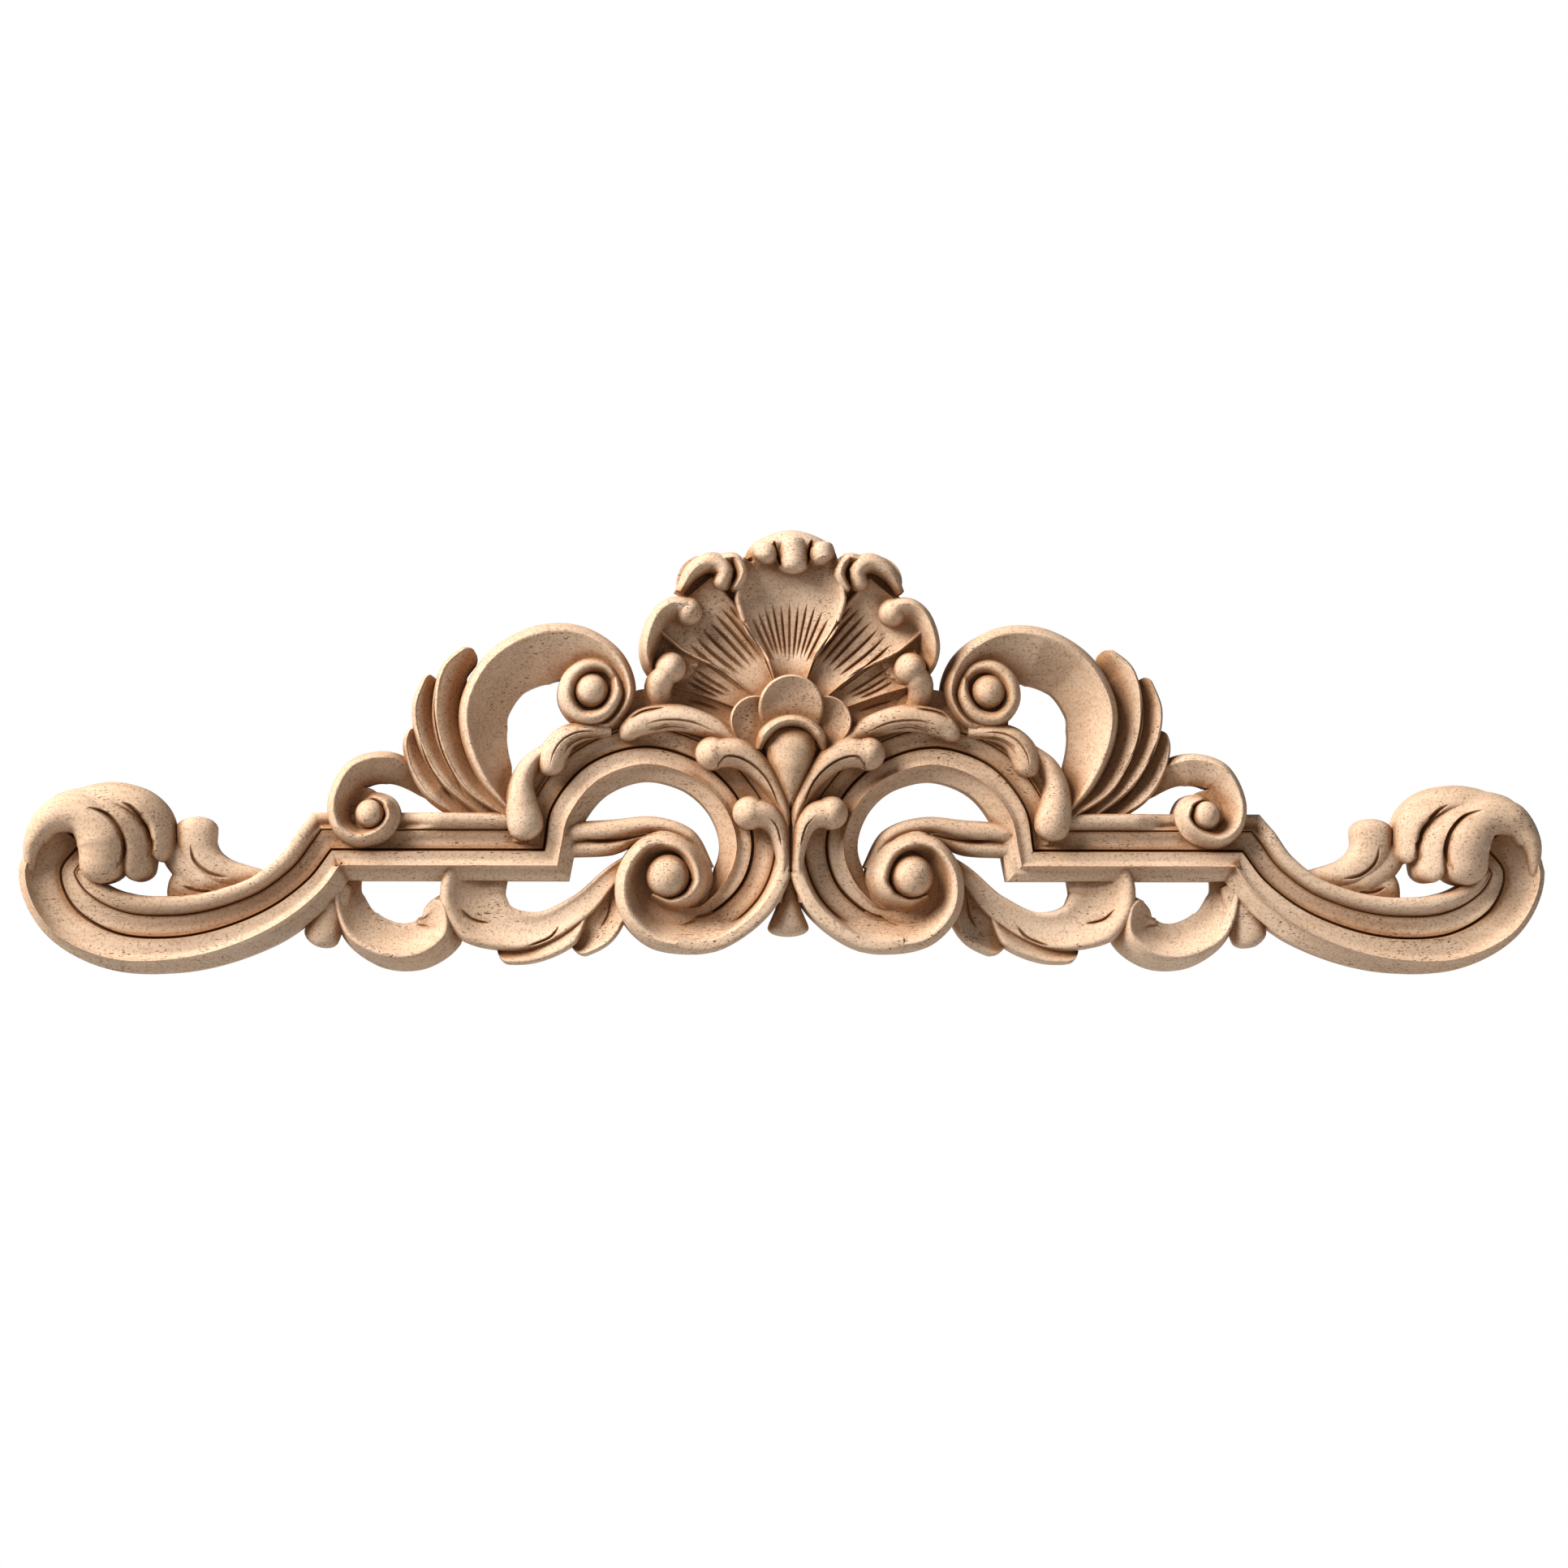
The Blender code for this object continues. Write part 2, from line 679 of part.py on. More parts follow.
def carve_shell_half():
    """The left half of the shell: its petals, and the curls along its rim."""
    strand(
        "petal_side",
        [(-28, 70), (-68, 114), (-105, 150), (-133, 184)],
        [
            (0, petal(14, 12, 11, 1)),
            (1, petal(22, 12.8, 10, 2, 38)),
            (2, petal(41, 13.5, 10.5, 2, 50)),
            (3, petal(50, 15, 13, 1, 48)),
        ],
    )
    strand(
        "petal_low",
        [(-57, 60), (-103, 79), (-137, 92), (-161, 98)],
        [
            (0, petal(10, 11, 10, 1)),
            (1, petal(12, 11.3, 9.5, 1.5, 24)),
            (2, petal(15, 12, 10, 1.5, 34)),
            (3, petal(14, 13, 12, 1, 30)),
        ],
    )
    strand(
        "petal_foot",
        [(-68, 40), (-115, 50), (-151, 60), (-165, 64)],
        [
            (0, petal(10, 10.5, 9.5, 1, 14)),
            (1, petal(16, 10.5, 9, 1, 24)),
            (2, petal(16, 11, 9.5, 1, 26)),
            (3, petal(8, 11.5, 11, 1, 18)),
        ],
    )
    strand(
        "curl_high",
        [(-90, 198), (-81, 220), (-97, 232), (-120, 221), (-136, 195)],
        [
            (0, rib(11, 17.5, 11)),
            (1, rib(13, 19, 11)),
            (2, rib(13, 18.5, 11)),
            (3, rib(11, 18, 10)),
            (4, rib(6, 15, 9)),
        ],
        round_start=8,
        steps=2,
    )
    strand(
        "curl_high_lip",
        [(-71, 196), (-60, 218), (-70, 236), (-89, 234)],
        [(0, rib(6, 16.5, 11)), (1, rib(8, 18.5, 12)), (3, rib(8, 17, 10))],
        round_start=5,
    )
    over_the_top = [(-113, 180), (-130, 188), (-151, 187), (-169, 173)]
    strand(
        "curl_side",
        [*over_the_top, (-180, 150), (-184, 126), (-179, 104), (-165, 84)],
        [
            (0, scoop(26, 12, 17, 12, 1, 3, 0.6)),
            (1, scoop(30, 13, 18.5, 12, 1, 4, 0.6)),
            (2, scoop(29, 12, 19, 11, 1, 4, 0.6)),
            (4, scoop(27, 11, 19.3, 11, 1, 4, 0.6)),
            (5, scoop(26, 10, 18.5, 10, 1, 4, 0.6)),
            (6, scoop(18, 8, 15.5, 9, 1, 3, 0.6)),
            (7, scoop(8, 4, 10, 8, 1, 2, 0.6)),
        ],
        round_start=12,
        steps=2,
    )
    strand(
        "curl_low",
        [(-153, 94), (-166, 80), (-162, 63), (-141, 42)],
        [(0, rib(12, 17, 11)), (1, rib(11, 16, 10)), (2, rib(11, 13, 9)), (3, rib(6, 9, 7))],
        round_start=11,
        steps=2,
    )
    eye("curl_side_knob", (-126, 169), 17, 18.8, 11.5)
    eye("curl_low_knob", (-148, 102), 20, 19.2, 11.5)
    plate("curl_high_ground", (-105, 210), 34, 32, 10, 12)
    plate("curl_side_ground", (-144, 133), 36, 50, 11, 12)
    plate("shell_foot_ground", (-171, 56), 38, 21, 10, 12)
    plate("collar_side", (-43, 34), 30, 30, 12, 12)
    strand(
        "collar_side_rim",
        arc((-43, 34), 27, 250, 60, 6),
        [(0, rib(5, 14, 12)), (3, rib(6, 16, 12)), (6, rib(5, 14, 12))],
    )


def carve_shell_middle():
    """The shell's ground, its middle petal and the knuckle of three bumps at its top."""
    plate("shell_ground", (0, 151), 150, 96, 9.5, 24)
    strand(
        "petal_middle",
        [(0, 76), (0, 111), (0, 130), (0, 148), (0, 186), (0, 236)],
        [
            (0, petal(17, 12.5, 11)),
            (1, petal(29, 13.5, 10.5)),
            (2, petal(42, 14, 10.5)),
            (3, petal(56, 14.5, 10.5)),
            (4, petal(69, 15, 10.5)),
            (5, petal(62, 16.5, 13)),
        ],
    )
    strand(
        "knuckle",
        [(-48, 226), (-36, 245), (1, 258), (39, 245), (53, 224)],
        [
            (0, rib(9, 13, 9)),
            (1, rib(15, 16, 10)),
            (2, rib(15, 16.5, 10)),
            (3, rib(15, 16, 10)),
            (4, rib(9, 13, 9)),
        ],
        steps=2,
    )
    bumps = (
        ("bump_left", (-29, 258), (-33, 230), 19),
        ("bump_middle", (2, 266), (3, 218), 21),
        ("bump_right", (34, 258), (41, 229), 19),
    )
    for name, top, bottom, half in bumps:
        stations = [(0, rib(0.85 * half, 18, 12)), (1, rib(half, 19.5, 12))]
        strand(name, [top, bottom], stations, 9, 12, steps=3)


# Joining


def mirror_strands():
    """Each strand of the left half, turned over for the right half."""
    for left in list(strands.objects):
        bm = bmesh.new()
        bm.from_mesh(left.data)
        for v in bm.verts:
            v.co.x = -v.co.x
        bmesh.ops.reverse_faces(bm, faces=bm.faces)
        mesh = bpy.data.meshes.new(left.name + "_right")
        bm.to_mesh(mesh)
        bm.free()
        right = bpy.data.objects.new(left.name + "_right", mesh)
        strands.objects.link(right)
        right.hide_render = True
        right.display_type = "WIRE"


def make_bench():
    """The block behind the back plane, in strips across its length: what it covers is sawn off."""
    bm = bmesh.new()
    bmesh.ops.create_grid(bm, x_segments=BENCH_STRIPS, y_segments=1, size=SPAN)
    face_side = bmesh.ops.extrude_face_region(bm, geom=bm.faces)["geom"]
    for v in bm.verts:
        v.co = (v.co.x, 10 * MM, v.co.y)
    for v in [piece for piece in face_side if isinstance(piece, bmesh.types.BMVert)]:
        v.co.y = 0
    bmesh.ops.recalc_face_normals(bm, faces=bm.faces)
    mesh = bpy.data.meshes.new("bench")
    bm.to_mesh(mesh)
    bm.free()
    bench = bpy.data.objects.new("bench", mesh)
    bpy.context.scene.collection.objects.link(bench)
    bench.hide_render = True
    bench.display_type = "WIRE"
    return bench


def wood():
    material = bpy.data.materials.new("pale_wood")
    material.use_nodes = True
    shader = material.node_tree.nodes["Principled BSDF"]
    shader.inputs["Base Color"].default_value = (0.56, 0.38, 0.24, 1)
    shader.inputs["Roughness"].default_value = 0.75
    shader.inputs["Metallic"].default_value = 0.0
    return material


def join_onlay():
    body = bpy.data.objects.new("onlay", strands.objects["moulding"].data.copy())
    bpy.context.scene.collection.objects.link(body)
    strands.objects.unlink(strands.objects["moulding"])
    joined = body.modifiers.new("join_strands", "BOOLEAN")
    joined.operation = "UNION"
    joined.operand_type = "COLLECTION"
    joined.collection = strands
    joined.solver = "MANIFOLD"
    sawn = body.modifiers.new("saw_back", "BOOLEAN")
    sawn.operation = "DIFFERENCE"
    sawn.object = make_bench()
    sawn.solver = "MANIFOLD"
    flats = body.modifiers.new("merge_flats", "DECIMATE")
    flats.decimate_type = "DISSOLVE"
    flats.angle_limit = math.radians(FLAT_ANGLE)
    body.data.materials.append(wood())
    return body


def main():
    clear_scene()
    bpy.context.scene.collection.children.link(strands)
    carve_moulding()
    carve_end_scroll()
    carve_bracket_leaf()
    carve_low_scroll()
    carve_low_leaf()
    carve_small_scroll()
    carve_fan()
    carve_great_scroll()
    carve_arch_leaves()
    carve_centre_volute()
    carve_heart()
    carve_shell_half()
    mirror_strands()
    carve_shell_middle()
    carve_axis()
    join_onlay()


main()
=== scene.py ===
"""The looks of a carved wooden onlay: its finer carving, the bare wood and the tool marks."""

import json
import math

import bmesh
import bpy
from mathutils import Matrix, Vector
from mathutils.bvhtree import BVHTree

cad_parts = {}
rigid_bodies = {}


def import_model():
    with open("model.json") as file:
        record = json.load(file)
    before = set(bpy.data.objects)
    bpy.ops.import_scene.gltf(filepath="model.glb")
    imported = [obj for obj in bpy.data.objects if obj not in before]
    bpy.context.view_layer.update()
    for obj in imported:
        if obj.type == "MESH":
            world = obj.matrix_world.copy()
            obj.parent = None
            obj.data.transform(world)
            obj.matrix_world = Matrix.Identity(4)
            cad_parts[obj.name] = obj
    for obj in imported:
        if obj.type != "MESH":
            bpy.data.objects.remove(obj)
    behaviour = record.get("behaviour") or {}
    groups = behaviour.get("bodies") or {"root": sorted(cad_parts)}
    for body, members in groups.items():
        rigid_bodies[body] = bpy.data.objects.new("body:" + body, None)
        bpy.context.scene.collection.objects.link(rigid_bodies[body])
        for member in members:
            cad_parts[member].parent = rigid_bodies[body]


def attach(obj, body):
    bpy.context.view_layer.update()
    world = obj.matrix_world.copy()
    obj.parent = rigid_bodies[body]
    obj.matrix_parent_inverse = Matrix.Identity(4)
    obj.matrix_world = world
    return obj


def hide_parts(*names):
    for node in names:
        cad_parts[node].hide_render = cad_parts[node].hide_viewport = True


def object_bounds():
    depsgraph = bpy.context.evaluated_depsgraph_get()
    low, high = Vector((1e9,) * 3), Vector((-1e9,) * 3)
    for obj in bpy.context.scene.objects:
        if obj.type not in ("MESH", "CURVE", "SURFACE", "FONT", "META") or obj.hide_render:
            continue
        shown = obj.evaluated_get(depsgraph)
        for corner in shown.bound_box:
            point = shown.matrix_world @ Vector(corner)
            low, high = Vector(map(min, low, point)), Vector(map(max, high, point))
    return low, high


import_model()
solid_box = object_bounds()

# The moulding. The back of the onlay is a stepped, run moulding that a carver draws first on a
# squared-up plan: it leaves the end scroll, rises to the straight run, steps up over the arch and
# winds into the centre volute. Everything else is carved over it, all from one piece of wood.

SPAN_SQUARES = 1890  # squares of the plan from tip to tip
SQUARE = (solid_box[1][0] - solid_box[0][0]) / SPAN_SQUARES
MM = 0.001
STOCK_BELOW = 2.0  # mm of wood below the back, sawn off once all is carved
WALL_DRAFT = 0.12  # squares that a side wall leans out for each mm of height
ROW = 4.8  # squares between two cuts along a strand
LINE_STEPS = 12  # places worked out between two knots of a line
SECTION_STEPS = 3  # places worked out between two points of a section
SHARP_TURN = 0.5  # radians; where a line turns by more than this it has a corner
ROUNDING = (8, 18, 30, 44, 60, 76)  # degrees round a rounded end at which it is cut
TIP_WIDTH = 0.06  # share of its width that a rounded end keeps at the very tip
TIP_HEIGHT = 0.7  # share of its height that a rounded end keeps there

carved = bpy.data.collections.new("carved_strands")
bpy.context.scene.collection.children.link(carved)


def between(before, a, b, after, t):
    """A point of the smooth curve from a to b, whose slopes come from the points around them."""
    slope_a = (b - before) / 2
    slope_b = (after - a) / 2
    return (
        (2 * t**3 - 3 * t**2 + 1) * a
        + (t**3 - 2 * t**2 + t) * slope_a
        + (3 * t**2 - 2 * t**3) * b
        + (t**3 - t**2) * slope_b
    )


def flowing(knots, steps):
    """A smooth line through the knots, as (position, index); a knot given twice is a sharp corner."""
    knots = [Vector(knot) for knot in knots]
    line = []
    for i, (a, b) in enumerate(zip(knots, knots[1:])):
        if a == b:
            continue
        before = knots[i - 1] if i and knots[i - 1] != a else 2 * a - b
        after = knots[i + 2] if i + 2 < len(knots) and knots[i + 2] != b else 2 * b - a
        for step in range(steps):
            line.append((between(before, a, b, after, step / steps), i + step / steps))
    line.append((knots[-1], float(len(knots) - 1)))
    return line


def evenly(line, apart, round_start=0, round_end=0):
    """The line cut into rows of even length, closer together where an end is rounded."""
    travelled = [0.0]
    for (a, _), (b, _) in zip(line, line[1:]):
        travelled.append(travelled[-1] + (b - a).length)
    length = travelled[-1]
    places = {0.0, length}
    corners = [
        travelled[i]
        for i in range(1, len(line) - 1)
        if (line[i][0] - line[i - 1][0]).angle(line[i + 1][0] - line[i][0], 0) > SHARP_TURN
    ]
    stops = [0.0, *corners, length]
    for low, high in zip(stops, stops[1:]):
        count = max(2, round((high - low) / apart))
        places.update(low + (high - low) * i / count for i in range(count + 1))
    rounding = [1 - math.cos(math.radians(angle)) for angle in ROUNDING]
    if round_start:
        places = {p for p in places if p == 0 or p > round_start}
        places.update(round_start * share for share in rounding)
    if round_end:
        places = {p for p in places if p == length or p < length - round_end}
        places.update(length - round_end * share for share in rounding)
    rows = []
    i = 0
    for place in sorted(places):
        while i < len(line) - 2 and travelled[i + 1] < place:
            i += 1
        share = (place - travelled[i]) / (travelled[i + 1] - travelled[i])
        (a, index_a), (b, index_b) = line[i], line[i + 1]
        rows.append((a.lerp(b, share), index_a + share * (index_b - index_a), place, length - place))
    return rows


def side_directions(points):
    """The direction to the left of the line at each point, mitred where the line turns."""
    runs = [(b - a).normalized() for a, b in zip(points, points[1:])]
    runs = [runs[0], *runs, runs[-1]]
    return [
        Vector((-(a + b).y, (a + b).x)) / (1.0 + a.dot(b))
        for a, b in zip(runs, runs[1:])
    ]


def smooth_section(section):
    """A section's points joined by a smooth curve."""
    return [place for place, index in flowing(section, SECTION_STEPS)]


def section_at(stations, index):
    """The section at a point of the line, blended between the nearest two that are given."""
    if index <= stations[0][0]:
        return stations[0][1]
    for (low, first), (high, second) in zip(stations, stations[1:]):
        if index <= high:
            share = (index - low) / (high - low)
            return [a.lerp(b, share) for a, b in zip(first, second)]
    return stations[-1][1]


def loft(name, rows, collection):
    """A closed body through rows of points: a grid bent to the rows, its underside and ends closed."""
    bm = bmesh.new()
    columns = len(rows[0])
    grid = bmesh.ops.create_grid(bm, x_segments=len(rows) - 1, y_segments=columns - 1, size=1)["verts"]
    grid = sorted(grid, key=lambda v: (round(v.co.x, 5), v.co.y))
    for v, place in zip(grid, (place for row in rows for place in row)):
        v.co = place
    sides = {v for i, v in enumerate(grid) if i % columns in (0, columns - 1)}
    long_edges = [e for e in bm.edges if e.is_boundary and e.verts[0] in sides and e.verts[1] in sides]
    bmesh.ops.bridge_loops(bm, edges=long_edges)
    bmesh.ops.holes_fill(bm, edges=[e for e in bm.edges if e.is_boundary])
    return finished(bm, name, collection)


def finished(bm, name, collection):
    """The body that a mesh under construction becomes, with all its faces turned outward."""
    bmesh.ops.recalc_face_normals(bm, faces=bm.faces)
    if bm.calc_volume(signed=True) < 0 and not any(e.is_boundary for e in bm.edges):
        bmesh.ops.reverse_faces(bm, faces=bm.faces)
    mesh = bpy.data.meshes.new(name)
    bm.to_mesh(mesh)
    bm.free()
    body = bpy.data.objects.new(name, mesh)
    collection.objects.link(body)
    return body


def on_plan(place, height):
    """A place on the plan, in squares, at a height above the back in mm."""
    return Vector((place.x * SQUARE, -height * MM, place.y * SQUARE))


def strand(name, knots, stations, round_start=0, round_end=0):
    """One carved strand: a section carried along a line of the plan, with walls down past the back.

    A station is a place on the line, in knots from its start, and the section there. A section's
    points are offsets to the left of the line, in squares, and heights above the back, in mm.
    """
    stations = [(index, smooth_section(section)) for index, section in stations]
    rows = evenly(flowing(knots, LINE_STEPS), ROW, round_start, round_end)
    sides = side_directions([row[0] for row in rows])
    places = []
    for (spot, index, from_start, to_end), side in zip(rows, sides):
        share = 1.0
        for distance, reach in ((from_start, round_start), (to_end, round_end)):
            if reach and distance < reach:
                share = min(share, math.sqrt(1 - (1 - distance / reach) ** 2))
        share = max(TIP_WIDTH, share)
        section = section_at(stations, index)
        middle = 0.5 * (section[0].x + section[-1].x)
        lift = TIP_HEIGHT + (1 - TIP_HEIGHT) * share
        top = [(middle + share * (point.x - middle), lift * point.y) for point in section]
        lean = math.copysign(WALL_DRAFT, top[0][0] - top[-1][0])
        foot = (top[0][0] + lean * top[0][1], -STOCK_BELOW)
        far_foot = (top[-1][0] - lean * top[-1][1], -STOCK_BELOW)
        outline = (foot, *top, far_foot)
        places.append([on_plan(spot + side * offset, height) for offset, height in outline])
    return loft(name, places, carved)


def moulding(back, front, rim=11.0, floor=8.0, band=10.3, toe=7.5, lip=0.5, swell=0.8):
    """A back rim, a quirk and a cove left of the groove; a band, a lip and a slope right of it.

    Back and front are widths in squares and lip is the lip's place as a share of the front. The rest
    are heights in mm; swell is how far the lip stands above the band.
    """
    fullness = 0.3 * max(0.0, swell - 1.0)
    return [
        (back, rim - 1.0),
        (0.93 * back, rim - 0.1),
        (0.79 * back, rim),
        (0.67 * back, rim - 0.7),
        (0.57 * back, floor + 1.0),
        (0.54 * back, floor - 0.7),
        (0.54 * back, floor - 0.7),
        (0.5 * back, floor + 0.8),
        (0.26 * back, floor - 0.1),
        (2.4, floor + 0.2),
        (2.4, floor + 0.2),
        (0.2, floor - 2.4),
        (0.2, floor - 2.4),
        (-2.0, band),
        (-2.0, band),
        (-0.62 * lip * front, band - 0.2 + fullness),
        (-(lip - 0.1) * front, band + 0.1 * swell + 2 * fullness),
        (-lip * front, band + swell),
        (-(lip + 0.02) * front, band + swell),
        (-(lip + 0.08) * front, band + swell - 1.6),
        (-(0.5 + 0.5 * lip) * front, 0.5 * (band + swell - 1.6 + toe) + 0.2),
        (-front, toe),
    ]


end_turn = [(-867, -115), (-891, -149), (-873, -194), (-824, -224), (-763, -230)]
rise = [(-702, -220), (-640, -195), (-592, -160), (-562, -122)]
arch = [(-302, -122), (-291, -68), (-248, -17), (-180, 5), (-113, -13), (-67, -54)]
volute = [(-46, -110), (-59, -163), (-100, -200), (-137, -201)]
strand(
    "moulding",
    [*end_turn, *rise, rise[-1], arch[0], *arch, *volute],
    [
        (0, moulding(30, 34, 10, 8.5, 8, 9, 0.8, 2.0)),
        (1, moulding(32, 51, 10, 8.5, 7.5, 8, 0.8, 4.0)),
        (2, moulding(46, 48, 10.5, 8.5, 7.8, 7, 0.78, 3.4)),
        (3, moulding(51, 45, 11, 8.0, 9.3, 5.5, 0.68, 1.4)),
        (4, moulding(51, 43.2, 11, 7.7, 10.3, 5, 0.6)),
        (6, moulding(43, 43, 11, 7.5)),
        (8, moulding(46, 37, 11, 7.7)),
        (9, moulding(46, 37, 8.2, 7.7)),
        (9.38, moulding(46, 37, 8.2, 7.8)),
        (9.5, moulding(46, 37, 11, 7.9)),
        (10, moulding(46, 37, 11, 8)),
        (11, moulding(40, 37, 8.8, 8)),
        (12, moulding(44, 43, 9, 8.2)),
        (13, moulding(42, 43, 9.8, 8.8)),
        (14, moulding(44, 41, 10.4, 9.4)),
        (15, moulding(42, 38, 10.8, 9.7)),
        (16, moulding(42, 38, 12, 9.8, 10.3)),
        (17, moulding(53, 39, 13.4, 9.2, 10, 7)),
        (18, moulding(50, 38, 15, 8, 9, 6.5)),
        (20, moulding(42, 14, 15, 7, 7.5, 5)),
    ],
)

# The end scroll. A leaf rolls over the top of the moulding's end in three lobes, each tucked under
# the next. The innermost and highest one drops into the mouth of the scroll, over a low ground.


def rib(half, crest, edge):
    """A rounded strand: half its width in squares, and its heights in mm."""
    rise_mm = crest - edge
    half_section = [(1, 0), (0.93, 0.4), (0.62, 0.82)]
    left = [(half * x, edge + rise_mm * h) for x, h in half_section]
    return [*left, (0, crest), *[(-x, h) for x, h in reversed(left)]]


def lap(half, crest, edge):
    """A rounded strand with its crest towards the right, where it laps over its neighbour."""
    profile = [(1, 0), (0.82, 0.3), (0.45, 0.62), (0, 0.86), (-0.45, 1), (-0.8, 0.9), (-1, 0.35)]
    return [(half * x, edge + (crest - edge) * h) for x, h in profile]


def ground(name, centre, across, up, height):
    """A low round ground that carries the strands above it."""
    bm = bmesh.new()
    bmesh.ops.create_cone(bm, cap_ends=True, segments=40, radius1=1, radius2=1, depth=1)
    for v in bm.verts:
        spot = Vector((centre[0] + across * v.co.x, centre[1] + up * v.co.y))
        v.co = on_plan(spot, height if v.co.z > 0 else -STOCK_BELOW)
    return finished(bm, name, carved)


strand(
    "roll_outer",
    [(-910, -97), (-876, -67), (-831, -56), (-793, -66), (-770, -91), (-767, -137)],
    [(0, lap(12, 12, 8)), (1, lap(15, 14, 9)), (3, lap(18, 14, 8)), (5, lap(15, 11, 6))],
    round_end=14,
)
strand(
    "roll_middle",
    [(-917, -109), (-888, -74), (-845, -68), (-813, -85), (-796, -115), (-798, -161)],
    [(0, lap(12, 13, 8)), (1, lap(20, 16, 10)), (3, lap(22, 16, 8.5)), (5, lap(19, 13, 7))],
    round_end=17,
)
strand(
    "roll_inner",
    [(-928, -152), (-923, -113), (-898, -83), (-863, -81), (-840, -111), (-842, -164)],
    [
        (0, rib(5, 10, 8)),
        (1, rib(12, 15, 10)),
        (2, rib(21, 17, 11)),
        (4, rib(31, 18, 11)),
        (5, rib(26, 15, 10)),
    ],
    round_end=22,
)
ground("roll_ground", (-878, -107), 18, 26, 6)

# The bracket leaf, a small soft leaf that fills the corner between the roll and the rising moulding.
# It is low in relief, with three rounded lobes that are parted by veins.

strand(
    "bracket_tip",
    [(-646, -159), (-700, -148), (-725, -121), (-727, -81)],
    [(0, rib(12, 8, 5)), (1, rib(20, 9, 5.5)), (3, rib(26, 9.5, 6))],
    round_end=16,
)
strand(
    "bracket_middle",
    [(-668, -171), (-717, -157), (-745, -133), (-755, -109)],
    [(0, rib(8, 7.5, 5)), (1, rib(22, 8.5, 5)), (3, rib(20, 7, 4.5))],
    round_end=12,
)
strand(
    "bracket_foot",
    [(-678, -185), (-717, -175), (-761, -161)],
    [(0, rib(10, 7.5, 5)), (1, rib(20, 8, 5)), (2, rib(26, 7, 5))],
    round_end=14,
)

# Below the moulding hang a small C-scroll and, in the angle beside it, a plump bud. The scroll has its
# open side up, a sharp lip along its middle, a hollow inside the lip and a sloping wall outside it.


def lip_and_hollow(width, wall, crest, floor=4.0):
    """A lip on the line, a sloping outer wall right of it and a hollow left of it."""
    fall = crest - floor
    return [
        (-wall, 2.5),
        (-0.45 * wall, 0.5 * (crest + 2.5) + 0.8),
        (-1.5, crest - 0.4),
        (1.5, crest),
        (5, crest - 0.6),
        (0.3 * width, floor + 0.5 * fall),
        (0.6 * width, floor + 0.12 * fall),
        (0.88 * width, floor),
        (width, floor - 0.4),
    ]


strand(
    "low_scroll",
    [
        (-550, -143), (-557, -181), (-540, -227), (-498, -251),
        (-455, -250), (-423, -226), (-423, -194), (-435, -179),
    ],
    [
        (0, lip_and_hollow(25, 3, 7, 3)),
        (1, lip_and_hollow(34, 4, 8, 2.8)),
        (2, lip_and_hollow(44, 8, 9, 2.8)),
        (3, lip_and_hollow(43, 15, 10, 3.2)),
        (4, lip_and_hollow(41, 19, 10, 4)),
        (5, lip_and_hollow(38, 22, 10, 5)),
        (7, lip_and_hollow(32, 16, 9, 6)),
    ],
    round_end=10,
)
strand(
    "bud",
    [(-546, -163), (-561, -193), (-580, -240)],
    [(0, rib(10, 7, 4)), (1, rib(20, 7.5, 4)), (2, rib(23, 7.5, 3.5))],
    round_end=16,
)

# The low acanthus sweeps from the centre volute along the underside of the moulding. Its stem spreads
# into a broad dished leaf, and two thin lobes fold out below it, each with a vein.


def blade(left, right, crest, floor):
    """A leaf blade: a rounded edge on the left that falls into a shallow trough on the right."""
    return [
        (left, crest - 1.5),
        (0.9 * left, crest - 0.2),
        (0.7 * left, crest - 0.1),
        (0.3 * left, floor + 0.4 * (crest - floor)),
        (-0.3 * right, floor + 0.3),
        (-0.75 * right, floor + 0.6),
        (-right, floor),
    ]


strand(
    "low_leaf_stem",
    [(-197, -136), (-221, -152), (-256, -185), (-304, -215), (-354, -216), (-389, -185), (-385, -143)],
    [
        (0, blade(10, 9, 8, 7)),
        (1, blade(13, 9, 8, 7)),
        (2, blade(20, 11, 8, 6.5)),
        (3, blade(22, 18, 8, 6)),
        (4, blade(29, 29, 9, 5.5)),
        (4.5, blade(40, 38, 9.2, 5.2)),
        (5, blade(39, 42, 9.5, 5)),
        (6, blade(38, 40, 9.5, 5)),
    ],
)
strand(
    "low_leaf_lobe_near",
    [(-201, -146), (-214, -186), (-232, -221), (-268, -240)],
    [
        (0, blade(8, 8, 6.5, 5)),
        (1, blade(20, 26, 9, 5.5)),
        (2, blade(19, 28, 9, 5.5)),
        (3, blade(18, 22, 8.5, 5)),
    ],
    round_end=14,
)
strand(
    "low_leaf_lobe_middle",
    [(-248, -181), (-278, -219), (-317, -240), (-359, -245)],
    [(0, blade(6, 7, 5.8, 5)), (1, blade(24, 20, 9.5, 6)), (3, blade(17, 18, 8.5, 5.5))],
    round_end=14,
)

# The small C-scroll springs from behind the fan and curls onto the moulding. Its arm is a rounded rim
# with a scooped inside; the rim thins to a ring round a button, which stands on a raised seat.


